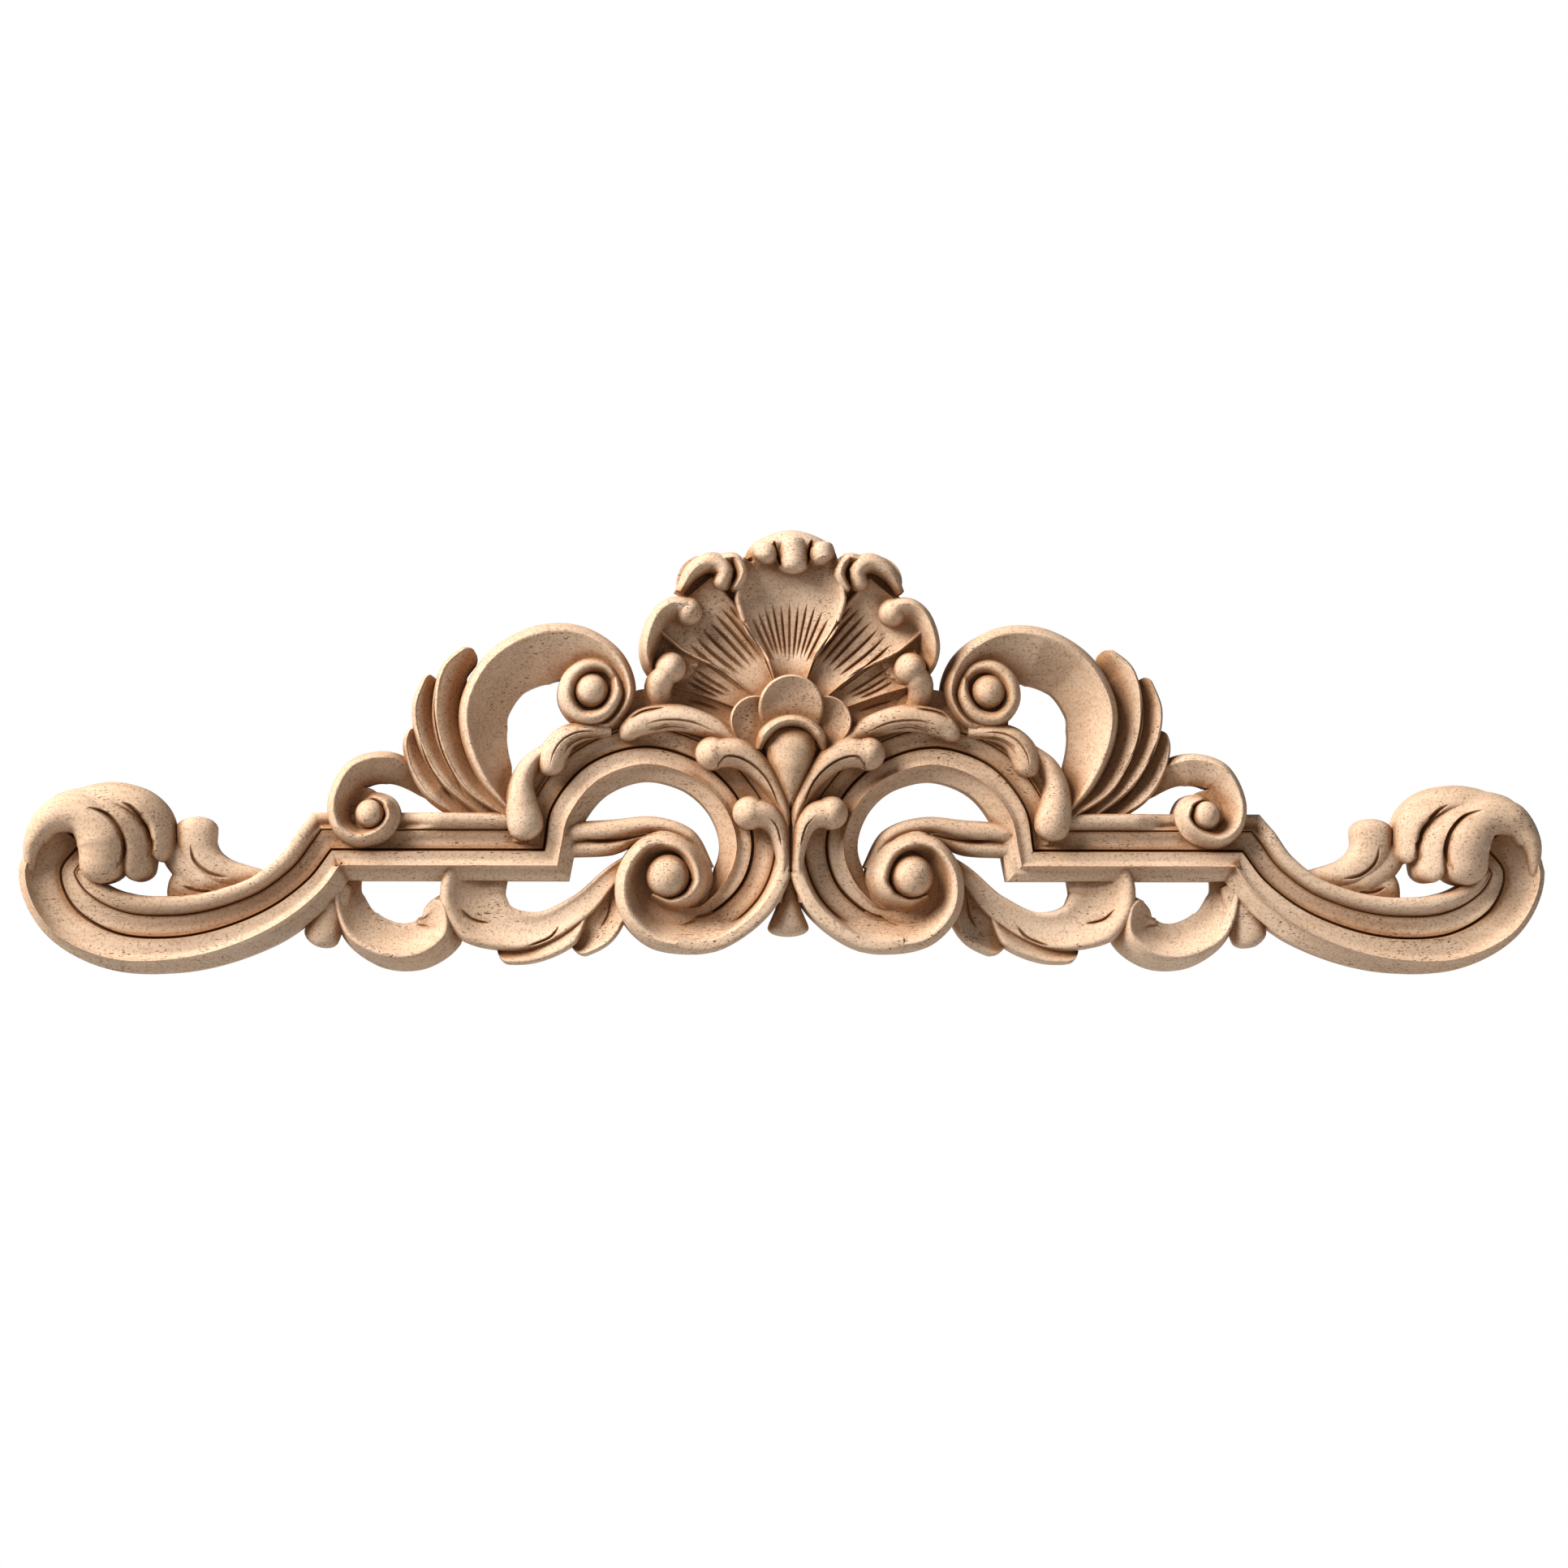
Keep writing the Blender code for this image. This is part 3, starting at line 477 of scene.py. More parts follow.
def scoop(width, rim, crest, floor, side=-1, drop=4.2, belly=0.0):
    """A rounded rim on the line, and beside it a hollow that falls to a thin inner edge.

    Side is 1 where the hollow lies left of the line and -1 where it lies right. The rim's outer edge
    is lower than its crest by drop, and belly, from 0 to 1, is how full the hollow is.
    """
    fall = crest - floor
    hollow = width - rim
    return [
        (0, crest - drop),
        (side * 0.24 * rim, crest - 0.38 * drop),
        (side * 0.64 * rim, crest),
        (side * 0.95 * rim, crest - (0.11 - 0.07 * belly) * fall),
        (side * (rim + 0.12 * hollow), floor + (0.62 + 0.32 * belly) * fall),
        (side * (rim + 0.36 * hollow), floor + (0.32 + 0.46 * belly) * fall),
        (side * (rim + 0.7 * hollow), floor + (0.08 + 0.36 * belly) * fall),
        (side * width, floor - 0.2),
    ]


def ring(width, crest, foot, side=-1):
    """A ring that rises from a low outer foot on the line to a rounded crest beside the button."""
    rise_mm = crest - foot
    return [
        (0, foot),
        (side * 0.2 * width, foot + 0.2 * rise_mm),
        (side * 0.4 * width, foot + 0.65 * rise_mm),
        (side * 0.58 * width, crest - 0.3),
        (side * 0.72 * width, crest),
        (side * 0.86 * width, crest - 0.8),
        (side * 0.96 * width, crest - 3),
        (side * width, crest - 5),
    ]


def button(name, centre, radius, crest, seat):
    """A round button at the heart of a scroll: a dome that springs from the seat's height."""
    bm = bmesh.new()
    ball = bmesh.ops.create_uvsphere(bm, u_segments=40, v_segments=24, radius=1)["verts"]
    bmesh.ops.delete(bm, geom=[v for v in ball if v.co.z < -0.01], context="VERTS")
    dome = list(bm.verts)
    wall = bmesh.ops.extrude_edge_only(bm, edges=[e for e in bm.edges if e.is_boundary])["geom"]
    foot = {v for v in wall if isinstance(v, bmesh.types.BMVert)}
    bmesh.ops.holes_fill(bm, edges=[e for e in bm.edges if e.is_boundary])
    for v in [*dome, *foot]:
        spot = Vector((centre[0] + radius * v.co.x, centre[1] + radius * v.co.y))
        v.co = on_plan(spot, -STOCK_BELOW if v in foot else seat + (crest - seat) * v.co.z)
    return finished(bm, name, carved)


small_arm = [(-386, -86), (-436, -30), (-490, -1), (-541, -13), (-566, -57)]
small_turn = [(-561, -97), (-532, -119), (-496, -111), (-478, -85), (-486, -59), (-510, -51), (-529, -61)]
strand(
    "small_scroll",
    small_arm + small_turn,
    [
        (0, scoop(14, 6, 3, 2, 1)),
        (1, scoop(31, 10, 4, 3, 1)),
        (2, scoop(39, 12, 10.5, 6, 1, belly=0.5)),
        (3, scoop(38, 12, 13, 7, 1, belly=0.6)),
        (4, scoop(30, 12, 13.5, 8, 1, belly=0.5)),
        (5, scoop(25, 12, 14, 9, 1, belly=0.4)),
        (7, ring(22, 14, 9.5, 1)),
        (9, ring(18, 14, 9, 1)),
        (10, ring(11, 11.5, 8, 1)),
        (11, ring(6, 7.8, 6.5, 1)),
    ],
)
ground("small_scroll_floor", (-523, -70), 25, 25, 7.6)
ground("small_scroll_seat", (-512, -80), 22, 22, 8.6)
button("small_scroll_button", (-515, -78), 17.5, 15.5, 11)

# The fan, three slender leaves that lean on each other between the small scroll and the great one.
# Each has a fine raised rim on its outer side and laps a little over the one outside it.

strand(
    "fan_low",
    [(-396, -92), (-443, -62), (-467, -28), (-476, 6), (-471, 30)],
    [
        (0, scoop(22, 5, 8, 4, belly=0.8)),
        (1, scoop(36, 7, 10, 4, belly=0.8)),
        (2, scoop(32, 7, 9, 4, belly=0.8)),
        (4, scoop(19, 6, 7.5, 4, belly=0.8)),
    ],
    round_end=8,
)
strand(
    "fan_middle",
    [(-373, -88), (-427, -44), (-456, 4), (-465, 53), (-450, 97)],
    [
        (0, scoop(22, 5, 9.5, 5, belly=0.8)),
        (1, scoop(36, 7, 11, 5, belly=0.8)),
        (3, scoop(30, 7, 10, 5, belly=0.8)),
        (4, scoop(20, 6, 8.5, 5, belly=0.8)),
    ],
    round_end=9,
)
strand(
    "fan_high",
    [(-350, -84), (-400, -50), (-431, 2), (-440, 52), (-429, 104), (-397, 134)],
    [
        (0, scoop(22, 5, 11, 6, belly=0.8)),
        (2, scoop(37, 7, 12, 5.5, belly=0.8)),
        (4, scoop(36, 7, 11, 5.5, belly=0.8)),
        (5, scoop(26, 6, 9.5, 5.5, belly=0.8)),
    ],
    round_end=11,
)

# The great C-scroll, the broadest form after the shell. Its arm is a wide shallow scoop inside a
# rounded rim. At its heart stand a ring and, within the ring, a button, both on a round seat.

great_arm = [(-336, -90), (-379, -42), (-404, 16), (-403, 68), (-371, 121), (-315, 153)]
great_turn = [(-255, 153), (-206, 120), (-190, 69), (-220, 27), (-270, 31)]
strand(
    "great_scroll",
    great_arm + great_turn,
    [
        (0, scoop(14, 8, 11, 8)),
        (1, scoop(44, 12, 13, 6, belly=0.1)),
        (2, scoop(58, 15, 14, 5, belly=0.1)),
        (4, scoop(65, 16, 14.5, 5, belly=0.25)),
        (5, scoop(71, 17, 15, 6, belly=0.7)),
        (6, scoop(66, 15, 15, 9, belly=0.4)),
        (7, scoop(42, 13, 15, 10, belly=0.3)),
        (8, scoop(30, 11, 14.5, 10)),
        (10, scoop(14, 8, 12, 9)),
    ],
)
ground("great_scroll_seat", (-246, 72), 37, 36, 10)
strand(
    "great_scroll_ring",
    [
        (-215, 90), (-214, 68), (-230, 45), (-257, 41), (-274, 62),
        (-270, 88), (-250, 104), (-227, 102), (-212, 84),
    ],
    [
        (0, rib(6, 14, 9)),
        (1, rib(9, 15.3, 10)),
        (3, rib(10, 15.5, 10)),
        (5, rib(11, 15.5, 10)),
        (6, rib(10, 15, 10)),
        (7, rib(8, 14.2, 10)),
        (8, rib(6, 13.5, 9)),
    ],
)
button("great_scroll_button", (-245, 74), 21, 17, 11.5)

# The arch leaves, an acanthus of three lobes that lies over the back of the arch. Each lobe is a
# rounded tongue that starts under the one above it and ends in a blunt, curled tip.

strand(
    "arch_lobe_low",
    [(-300, 2), (-319, -16), (-329, -38), (-330, -62), (-326, -85), (-320, -110)],
    [
        (0, rib(8, 12, 8)),
        (1, rib(12, 13.5, 8)),
        (2, rib(15, 14, 8)),
        (3, rib(20, 14.8, 8.5)),
        (4, rib(23, 15, 9)),
        (5, rib(21, 14, 9)),
    ],
    round_end=16,
)
strand(
    "arch_lobe_middle",
    [(-220, 25), (-248, 25), (-272, 18), (-286, 4), (-293, -14), (-290, -31)],
    [
        (0, rib(8, 12, 9)),
        (1, rib(12, 14, 9)),
        (2, rib(15, 15, 8.5)),
        (3, rib(18, 15.3, 8.5)),
        (4, rib(18, 15, 8.5)),
        (5, rib(15, 14, 9)),
    ],
    round_end=10,
)
strand(
    "arch_lobe_high",
    [(-53, 2), (-91, 26), (-139, 41), (-183, 35), (-209, 15)],
    [
        (0, rib(8, 14, 10)),
        (1, rib(14, 15, 11)),
        (2, rib(17, 15.5, 11)),
        (3, rib(17, 15, 11)),
        (4, rib(10, 13.5, 10)),
    ],
    round_end=13,
)

# The centre volute carries on from the arch and winds in round a large button on a round seat. Two
# thin tendrils, one over the other, run from the step of the moulding to the back of its turn.

volute_sweep = [(-45, -218), (-76, -240), (-117, -249), (-172, -240), (-209, -201), (-213, -151)]
volute_top = [(-187, -110), (-147, -97), (-111, -115)]
volute_heart = [(-94, -157), (-112, -188), (-145, -197), (-173, -183)]
strand(
    "volute_turn",
    volute_sweep + volute_top + volute_heart,
    [
        (0, scoop(34, 12, 11.5, 6)),
        (1, scoop(48, 15, 14.3, 7)),
        (2, scoop(46, 16, 15, 7)),
        (4, scoop(38, 16, 15, 7.5)),
        (6, scoop(30, 16, 14.5, 8)),
        (7, ring(26, 14.5, 10)),
        (9, ring(29, 15, 8)),
        (10, ring(25, 15, 8)),
        (12, ring(10, 12, 8)),
    ],
)
ground("volute_seat", (-148, -166), 50, 50, 8)
button("volute_button", (-150, -154), 27, 17, 10)
strand(
    "tendril_high",
    [(-276, -100), (-221, -97), (-167, -91), (-123, -105), (-96, -144)],
    [(0, rib(13, 9.5, 6)), (1, rib(13, 10.3, 6)), (3, rib(9, 11, 7)), (4, rib(4, 8, 6))],
)
strand(
    "tendril_low",
    [(-272, -120), (-220, -117), (-183, -104), (-151, -104)],
    [(0, rib(10, 8.5, 5.5)), (1, rib(10, 9, 6)), (2, rib(8, 9.5, 6)), (3, rib(5, 8.5, 6))],
)

# The hooked leaves, two to each side of the axis, rise as thin stems from the foot of the piece. They
# thicken as they turn outward, and each ends in a round knob that stands well forward.

strand(
    "hook_high",
    [(-2, -116), (-7, -78), (-21, -46), (-41, -19), (-65, -3), (-93, -3)],
    [
        (0, rib(4, 13, 10)),
        (1, rib(8, 15, 10)),
        (2, rib(13, 16, 10)),
        (4, rib(19, 18, 11.5)),
        (5, rib(18, 18.7, 11.5)),
    ],
)
strand(
    "hook_low",
    [(-15, -186), (-9, -136), (-15, -98), (-28, -80), (-47, -76)],
    [
        (0, rib(5, 13, 10)),
        (1, rib(8, 15, 10)),
        (2, rib(13, 16.5, 10)),
        (3, rib(17, 17.8, 11)),
        (4, rib(18, 18.6, 11.5)),
    ],
)
button("hook_high_knob", (-96, -3), 21, 18.8, 11.5)
button("hook_low_knob", (-50, -76), 21, 18.7, 11.5)

# The shell. Its petals are dished and fluted, with a ridge along each side, and overlap outward from
# the middle one. Round them the rim curls forward in rolls and knobs, over a ground that is hidden.


def petal(half, ridge, hollow, tuck=0.0, right=None):
    """A shell petal: a ridge along each side, the right one tucked lower, and a hollow between them."""
    sides = []
    for width, top in ((half, ridge), (-(right or half), ridge - tuck)):
        depth = top - hollow
        profile = [
            (1, top - 0.8),
            (0.96, top),
            (0.9, top - 0.1 * depth),
            (0.83, top - 0.5 * depth),
            (0.5, hollow + 0.2 * depth),
        ]
        sides.append([(width * x, height) for x, height in profile])
    return [*sides[0], (0, hollow), *reversed(sides[1])]


strand(
    "petal_side",
    [(-28, 70), (-68, 114), (-105, 150), (-133, 184)],
    [
        (0, petal(14, 12, 11, 1)),
        (1, petal(22, 12.8, 10, 2, 38)),
        (2, petal(41, 13.5, 10.5, 2, 50)),
        (3, petal(50, 15, 13, 1, 48)),
    ],
)
strand(
    "petal_low",
    [(-57, 60), (-103, 79), (-137, 92), (-161, 98)],
    [
        (0, petal(10, 11, 10, 1)),
        (1, petal(12, 11.3, 9.5, 1.5, 24)),
        (2, petal(15, 12, 10, 1.5, 34)),
        (3, petal(14, 13, 12, 1, 30)),
    ],
)
strand(
    "petal_foot",
    [(-68, 40), (-115, 50), (-151, 60), (-165, 64)],
    [
        (0, petal(10, 10.5, 9.5, 1, 14)),
        (1, petal(16, 10.5, 9, 1, 24)),
        (2, petal(16, 11, 9.5, 1, 26)),
        (3, petal(8, 11.5, 11, 1, 18)),
    ],
)
strand(
    "curl_high",
    [(-90, 198), (-81, 220), (-97, 232), (-120, 221), (-136, 195)],
    [
        (0, rib(11, 17.5, 11)),
        (1, rib(13, 19, 11)),
        (2, rib(13, 18.5, 11)),
        (3, rib(11, 18, 10)),
        (4, rib(6, 15, 9)),
    ],
    round_start=8,
)
strand(
    "curl_high_lip",
    [(-71, 196), (-60, 218), (-70, 236), (-89, 234)],
    [(0, rib(6, 16.5, 11)), (1, rib(8, 18.5, 12)), (3, rib(8, 17, 10))],
    round_start=5,
)
strand(
    "curl_side",
    [(-113, 180), (-130, 188), (-151, 187), (-169, 173), (-180, 150), (-184, 126), (-179, 104), (-165, 84)],
    [
        (0, scoop(28, 13, 18, 15, 1, 3, 1.0)),
        (1, scoop(30, 13, 18.8, 14.5, 1, 4, 0.9)),
        (2, scoop(29, 12, 19, 12, 1, 4, 0.7)),
        (4, scoop(27, 11, 19.3, 11, 1, 4, 0.6)),
        (5, scoop(26, 10, 18.5, 10, 1, 4, 0.6)),
        (6, scoop(18, 8, 15.5, 9, 1, 3, 0.6)),
        (7, scoop(8, 4, 10, 8, 1, 2, 0.6)),
    ],
    round_start=12,
)
strand(
    "curl_low",
    [(-146, 104), (-160, 84), (-158, 63), (-139, 42)],
    [(0, rib(14, 18.6, 11)), (1, rib(17, 17.4, 10)), (2, rib(15, 13.5, 9)), (3, rib(7, 9.5, 7))],
)
button("curl_side_knob", (-126, 171), 18, 19, 11.5)
button("curl_low_knob", (-148, 102), 20, 19.2, 11.5)
ground("curl_high_ground", (-105, 210), 34, 32, 10)
ground("curl_side_ground", (-144, 133), 36, 50, 11)
ground("shell_foot_ground", (-171, 56), 38, 21, 10)

# The collar, a lotus of three lobes from which the shell opens. A lobe is a dished disc with a raised
# rim that fades towards the lobe's foot; the two side lobes are tucked behind the middle one.

RIM_FADE_END = 0.5  # share of the radius, from the middle to the foot, at which the rim is gone
RIM_FADE_LENGTH = 0.9  # share of the radius over which it fades


def dish(name, centre, radius, rim, floor, tilt, bearing):
    """A dished lobe that points along a bearing, in degrees, and leans back towards its foot by tilt mm."""
    profile = (
        (1.0, -STOCK_BELOW),
        (1.0, rim - 1.5),
        (0.97, rim - 0.3),
        (0.93, rim),
        (0.88, rim - 0.4),
        (0.8, floor + 0.55 * (rim - floor)),
        (0.6, floor + 0.2 * (rim - floor)),
        (0.3, floor),
    )
    bm = bmesh.new()
    spots = [bm.verts.new((share, 0, height)) for share, height in profile]
    edges = [bm.edges.new(pair) for pair in zip(spots, spots[1:])]
    bmesh.ops.spin(
        bm, geom=[*spots, *edges], cent=(0, 0, 0), axis=(0, 0, 1), dvec=(0, 0, 0),
        angle=math.tau, steps=48, use_merge=True,
    )
    bmesh.ops.holes_fill(bm, edges=[e for e in bm.edges if e.is_boundary])
    for v in bm.verts:
        spot = Vector((centre[0] + radius * v.co.x, centre[1] + radius * v.co.y))
        height = v.co.z
        if height > 0:
            out = v.co.x * math.cos(math.radians(bearing)) + v.co.y * math.sin(math.radians(bearing))
            rim_share = min(1.0, max(0.0, (out + RIM_FADE_END) / RIM_FADE_LENGTH))
            height = floor + (height - floor) * rim_share + tilt * out
        v.co = on_plan(spot, height)
    return finished(bm, name, carved)


dish("collar_side", (-43, 36), 32, 15, 12.8, 0.6, 135)

# The right half. The carver turns the drawing over for it, so each strand so far is repeated as its
# mirror image on the other side of the axis.


def turned_over(body, collection):
    """A copy of a body of the left half, turned over for the right half."""
    bm = bmesh.new()
    bm.from_mesh(body.data)
    for v in bm.verts:
        v.co.x = -v.co.x
    bmesh.ops.reverse_faces(bm, faces=bm.faces)
    mesh = bpy.data.meshes.new(body.name + "_right")
    bm.to_mesh(mesh)
    bm.free()
    collection.objects.link(bpy.data.objects.new(mesh.name, mesh))


for body in list(carved.objects):
    turned_over(body, carved)

# On the axis stand the shell's middle petal and its three knuckles, the middle lobe of the collar, a
# drop that hangs from the collar inside a bow, and a small pendant at the foot.


def arc(centre, radius, start, end, steps):
    """Points along a round stretch of the plan, from one bearing in degrees to another."""
    bearings = [math.radians(start + (end - start) * i / steps) for i in range(steps + 1)]
    return [(centre[0] + radius * math.cos(a), centre[1] + radius * math.sin(a)) for a in bearings]


ground("shell_ground", (0, 151), 150, 96, 9.5)
strand(
    "petal_middle",
    [(0, 76), (0, 111), (0, 130), (0, 148), (0, 186), (0, 236)],
    [
        (0, petal(17, 12.5, 11)),
        (1, petal(29, 13.5, 10.5)),
        (2, petal(42, 14, 10)),
        (3, petal(56, 14.6, 9.7)),
        (4, petal(69, 15.2, 9.7)),
        (5, petal(62, 16.5, 11)),
    ],
)
strand(
    "knuckle",
    [(-48, 226), (-36, 245), (1, 258), (39, 245), (53, 224)],
    [
        (0, rib(9, 13, 9)),
        (1, rib(15, 16, 10)),
        (2, rib(15, 16.5, 10)),
        (3, rib(15, 16, 10)),
        (4, rib(9, 13, 9)),
    ],
)
bumps = (
    ("bump_left", (-29, 258), (-33, 230), 19),
    ("bump_middle", (2, 266), (3, 218), 21),
    ("bump_right", (34, 258), (41, 229), 19),
)
for name, top, bottom, half in bumps:
    strand(
        name,
        [top, bottom],
        [(0, rib(0.85 * half, 18, 12)), (1, rib(half, 19.5, 12))],
        round_start=9,
        round_end=12,
    )
strand(
    "axis_ground",
    [(0, 76), (0, 26), (0, -34), (0, -94), (0, -184)],
    [
        (0, rib(70, 11, 9)),
        (1, rib(70, 11, 9)),
        (2, rib(46, 11, 9)),
        (3, rib(20, 10, 8)),
        (4, rib(10, 8, 6)),
    ],
)
strand(
    "drop",
    [(0, 33), (0, 20), (0, 4), (0, -18), (0, -40), (0, -70)],
    [
        (0, rib(20, 14.5, 11)),
        (1, rib(30, 17.3, 11)),
        (2, rib(33, 18.2, 11)),
        (3, rib(27, 18, 11)),
        (4, rib(17, 16.5, 11)),
        (5, rib(4, 13.5, 11)),
    ],
    round_start=10,
)
strand(
    "bow",
    arc((1, -4), 41, 172, 8, 6),
    [(0, rib(4, 15, 11)), (1, rib(8, 18.8, 12)), (5, rib(8, 18.8, 12)), (6, rib(4, 15, 11))],
)
dish("collar", (0, 53), 40, 16.8, 14.4, 1.4, 90)
strand(
    "pendant",
    [(0, -160), (0, -194), (0, -228)],
    [(0, rib(6, 11, 7)), (1, rib(15, 12, 7)), (2, rib(30, 11, 5.5))],
    round_end=14,
)

# The onlay is one piece of wood with a flat back, to be glued on. The strands are joined into a single
# body here, and what reaches below the back is sawn off.


def combine(body, operation, collection=None, tool=None):
    """Join other bodies to the body, or cut their shapes out of it."""
    cut = body.modifiers.new("cut", "BOOLEAN")
    cut.operation = operation
    cut.solver = "MANIFOLD"
    if collection:
        cut.operand_type = "COLLECTION"
        cut.collection = collection
    else:
        cut.object = tool
    mesh = bpy.data.meshes.new_from_object(body.evaluated_get(bpy.context.evaluated_depsgraph_get()))
    body.modifiers.remove(cut)
    body.data = mesh


def clear_away(collection):
    """Remove a collection and the bodies in it."""
    for body in list(collection.objects):
        bpy.data.objects.remove(body)
    bpy.data.collections.remove(collection)


BENCH_SIDE = 0.5  # metres from the middle of the bench to its edge
BENCH_THICKNESS = 0.01
BENCH_STRIPS = 81  # the bench is in narrow strips, so that the sawn back is cut into small faces

onlay = carved.objects["moulding"]
carved.objects.unlink(onlay)
bpy.context.scene.collection.objects.link(onlay)
onlay.name = "carved_onlay"
combine(onlay, "UNION", collection=carved)

bm = bmesh.new()
bmesh.ops.create_grid(bm, x_segments=BENCH_STRIPS, y_segments=1, size=BENCH_SIDE)
sawn_side = bmesh.ops.extrude_face_region(bm, geom=bm.faces)["geom"]
for v in bm.verts:
    v.co = (v.co.x, BENCH_THICKNESS, v.co.y)
for v in [piece for piece in sawn_side if isinstance(piece, bmesh.types.BMVert)]:
    v.co.y = 0
bench = finished(bm, "bench", bpy.context.scene.collection)
combine(onlay, "DIFFERENCE", tool=bench)
bpy.data.objects.remove(bench)
clear_away(carved)

# Last come the V-tool and the veiner: the flutes of the shell, the slits between the lobes of a leaf,
# the veins and the lines along the stems. Each cut is shallow where the tool enters and leaves.

CUT_ROW = 3.0  # squares between two places of a cut
CUT_ENTRY = 0.35  # share of a cut's length over which the tool enters, and over which it leaves
CUT_CLEARANCE = 0.8  # mm that the mouth of a cut stands above the surface
TOOL_LIFT = 0.2  # mm that the tool's edge is above the surface at either end of a cut
CUT_SMOOTHING = 4  # times that the heights along a cut are evened out
CLEAR_OF_CARVING = 0.1  # metres in front of the back from which the surface is sounded

surface = BVHTree.FromObject(onlay, bpy.context.evaluated_depsgraph_get())
tool_cuts = bpy.data.collections.new("tool_cuts")
bpy.context.scene.collection.children.link(tool_cuts)


def surface_height(place):
    """The height of the carving above the back at a place on the plan, in mm."""
    start = Vector((place.x * SQUARE, -CLEAR_OF_CARVING, place.y * SQUARE))
    found = surface.ray_cast(start, Vector((0, 1, 0)))[0]
    return -found.y / MM if found else 0.0


def tool_cut(name, knots, width, depth, both_sides=True):
    """A V-shaped groove that follows the surface: its width in squares and its depth in mm."""
    rows = evenly(flowing(knots, LINE_STEPS), CUT_ROW)
    sides = side_directions([row[0] for row in rows])
    heights = [surface_height(row[0]) for row in rows]
    for _ in range(CUT_SMOOTHING):
        padded = [heights[0], *heights, heights[-1]]
        heights = [(a + 2 * b + c) / 4 for a, b, c in zip(padded, padded[1:], padded[2:])]
    reach = CUT_ENTRY * rows[-1][2]
    half = 0.5 * width * (1 + CUT_CLEARANCE / depth)
    places = []
    for (spot, _, from_start, to_end), side, height in zip(rows, sides, heights):
        bite = math.sin(0.5 * math.pi * min(1.0, from_start / reach, to_end / reach))
        low = height - bite * depth + TOOL_LIFT * (1 - bite)
        high = height + CUT_CLEARANCE
        places.append(
            [on_plan(spot + side * half, high), on_plan(spot, low), on_plan(spot - side * half, high)]
        )
    groove = loft(name, places, tool_cuts)
    if both_sides:
        turned_over(groove, tool_cuts)


middle_flutes = (
    [(-48, 165), (-34, 138), (-19, 108)],
    [(-41, 175), (-29, 146), (-16, 114)],
    [(-32, 182), (-23, 151), (-12, 112)],
    [(-22, 186), (-16, 154), (-8, 114)],
    [(-11, 184), (-8, 151), (-4, 111)],
)
side_flutes = (
    [(-77, 182), (-53, 150), (-28, 110)],
    [(-87, 178), (-64, 154), (-32, 113)],
    [(-95, 171), (-70, 145), (-37, 107)],
    [(-102, 161), (-78, 138), (-44, 101)],
    [(-111, 153), (-87, 129), (-51, 97)],
    [(-119, 143), (-95, 120), (-59, 92)],
    [(-126, 133), (-101, 111), (-65, 87)],
)
low_flutes = (
    [(-124, 106), (-96, 86), (-68, 70)],
    [(-129, 97), (-100, 79), (-74, 66)],
    [(-131, 88), (-105, 74), (-85, 65)],
    [(-129, 64), (-107, 58), (-83, 49)],
)
for flutes, width, depth in ((middle_flutes, 5, 1.1), (side_flutes, 5.5, 1.4), (low_flutes, 5, 1.1)):
    for knots in flutes:
        tool_cut("shell_flute", knots, width, depth)
tool_cut("shell_middle_flute", [(0, 188), (0, 110)], 5, 1.0, both_sides=False)
for knots in ([(-22, 258), (-17, 242), (-12, 225)], [(26, 260), (22, 244), (20, 227)]):
    tool_cut("knuckle_slit", knots, 6, 3, both_sides=False)
tool_cut("knuckle_pit", [(-55, 236), (-45, 234)], 8, 3, both_sides=False)

leaf_cuts = (
    ("curl_slit", [(-74, 236), (-71, 220), (-75, 200)], 5, 2.0),
    ("roll_slit", [(-857, -71), (-834, -79), (-817, -98), (-812, -123), (-817, -144)], 7, 2.5),
    ("roll_slit", [(-817, -64), (-802, -73), (-787, -93), (-780, -113), (-780, -129)], 7, 2.5),
    ("bracket_vein", [(-734, -113), (-729, -135), (-711, -151), (-685, -157)], 6, 1.4),
    ("bracket_vein", [(-745, -166), (-724, -173), (-701, -172)], 6, 1.2),
    ("hook_high_vein", [(-94, -25), (-80, -8), (-54, -14), (-29, -37), (-12, -76)], 4, 1.3),
    ("hook_low_vein", [(-29, -82), (-18, -94), (-11, -120)], 4, 1.0),
    ("arch_high_vein", [(-199, 38), (-181, 48), (-153, 53)], 5, 1.4),
    ("arch_high_vein", [(-183, 30), (-155, 37), (-121, 34), (-89, 20)], 4, 0.8),
    ("arch_high_vein", [(-173, 23), (-147, 29), (-117, 25)], 4, 0.7),
    ("arch_middle_vein", [(-233, 23), (-260, 22), (-280, 12), (-291, -4), (-295, -22)], 4, 0.9),
    ("arch_middle_vein", [(-228, 17), (-254, 15), (-272, 5), (-281, -10)], 4, 0.8),
    ("tendril_line", [(-261, -110), (-212, -109), (-167, -101)], 6, 1.8),
    ("low_leaf_vein", [(-220, -174), (-223, -200), (-234, -220)], 4, 0.8),
    ("low_leaf_vein", [(-282, -213), (-295, -229), (-324, -241)], 5, 1.4),
    ("low_leaf_vein", [(-405, -193), (-389, -207), (-366, -212)], 5, 1.2),
    ("fan_line", [(-456, 18), (-445, -14), (-426, -44), (-403, -70)], 5, 1.4),
    ("fan_line", [(-434, 76), (-437, 54), (-433, 22), (-423, -10), (-397, -58)], 5, 1.4),
)
for name, knots, width, depth in leaf_cuts:
    tool_cut(name, knots, width, depth)
tool_cut("axis_line", [(0, -59), (0, -109), (0, -162)], 5, 1.6, both_sides=False)

combine(onlay, "DIFFERENCE", collection=tool_cuts)
clear_away(tool_cuts)


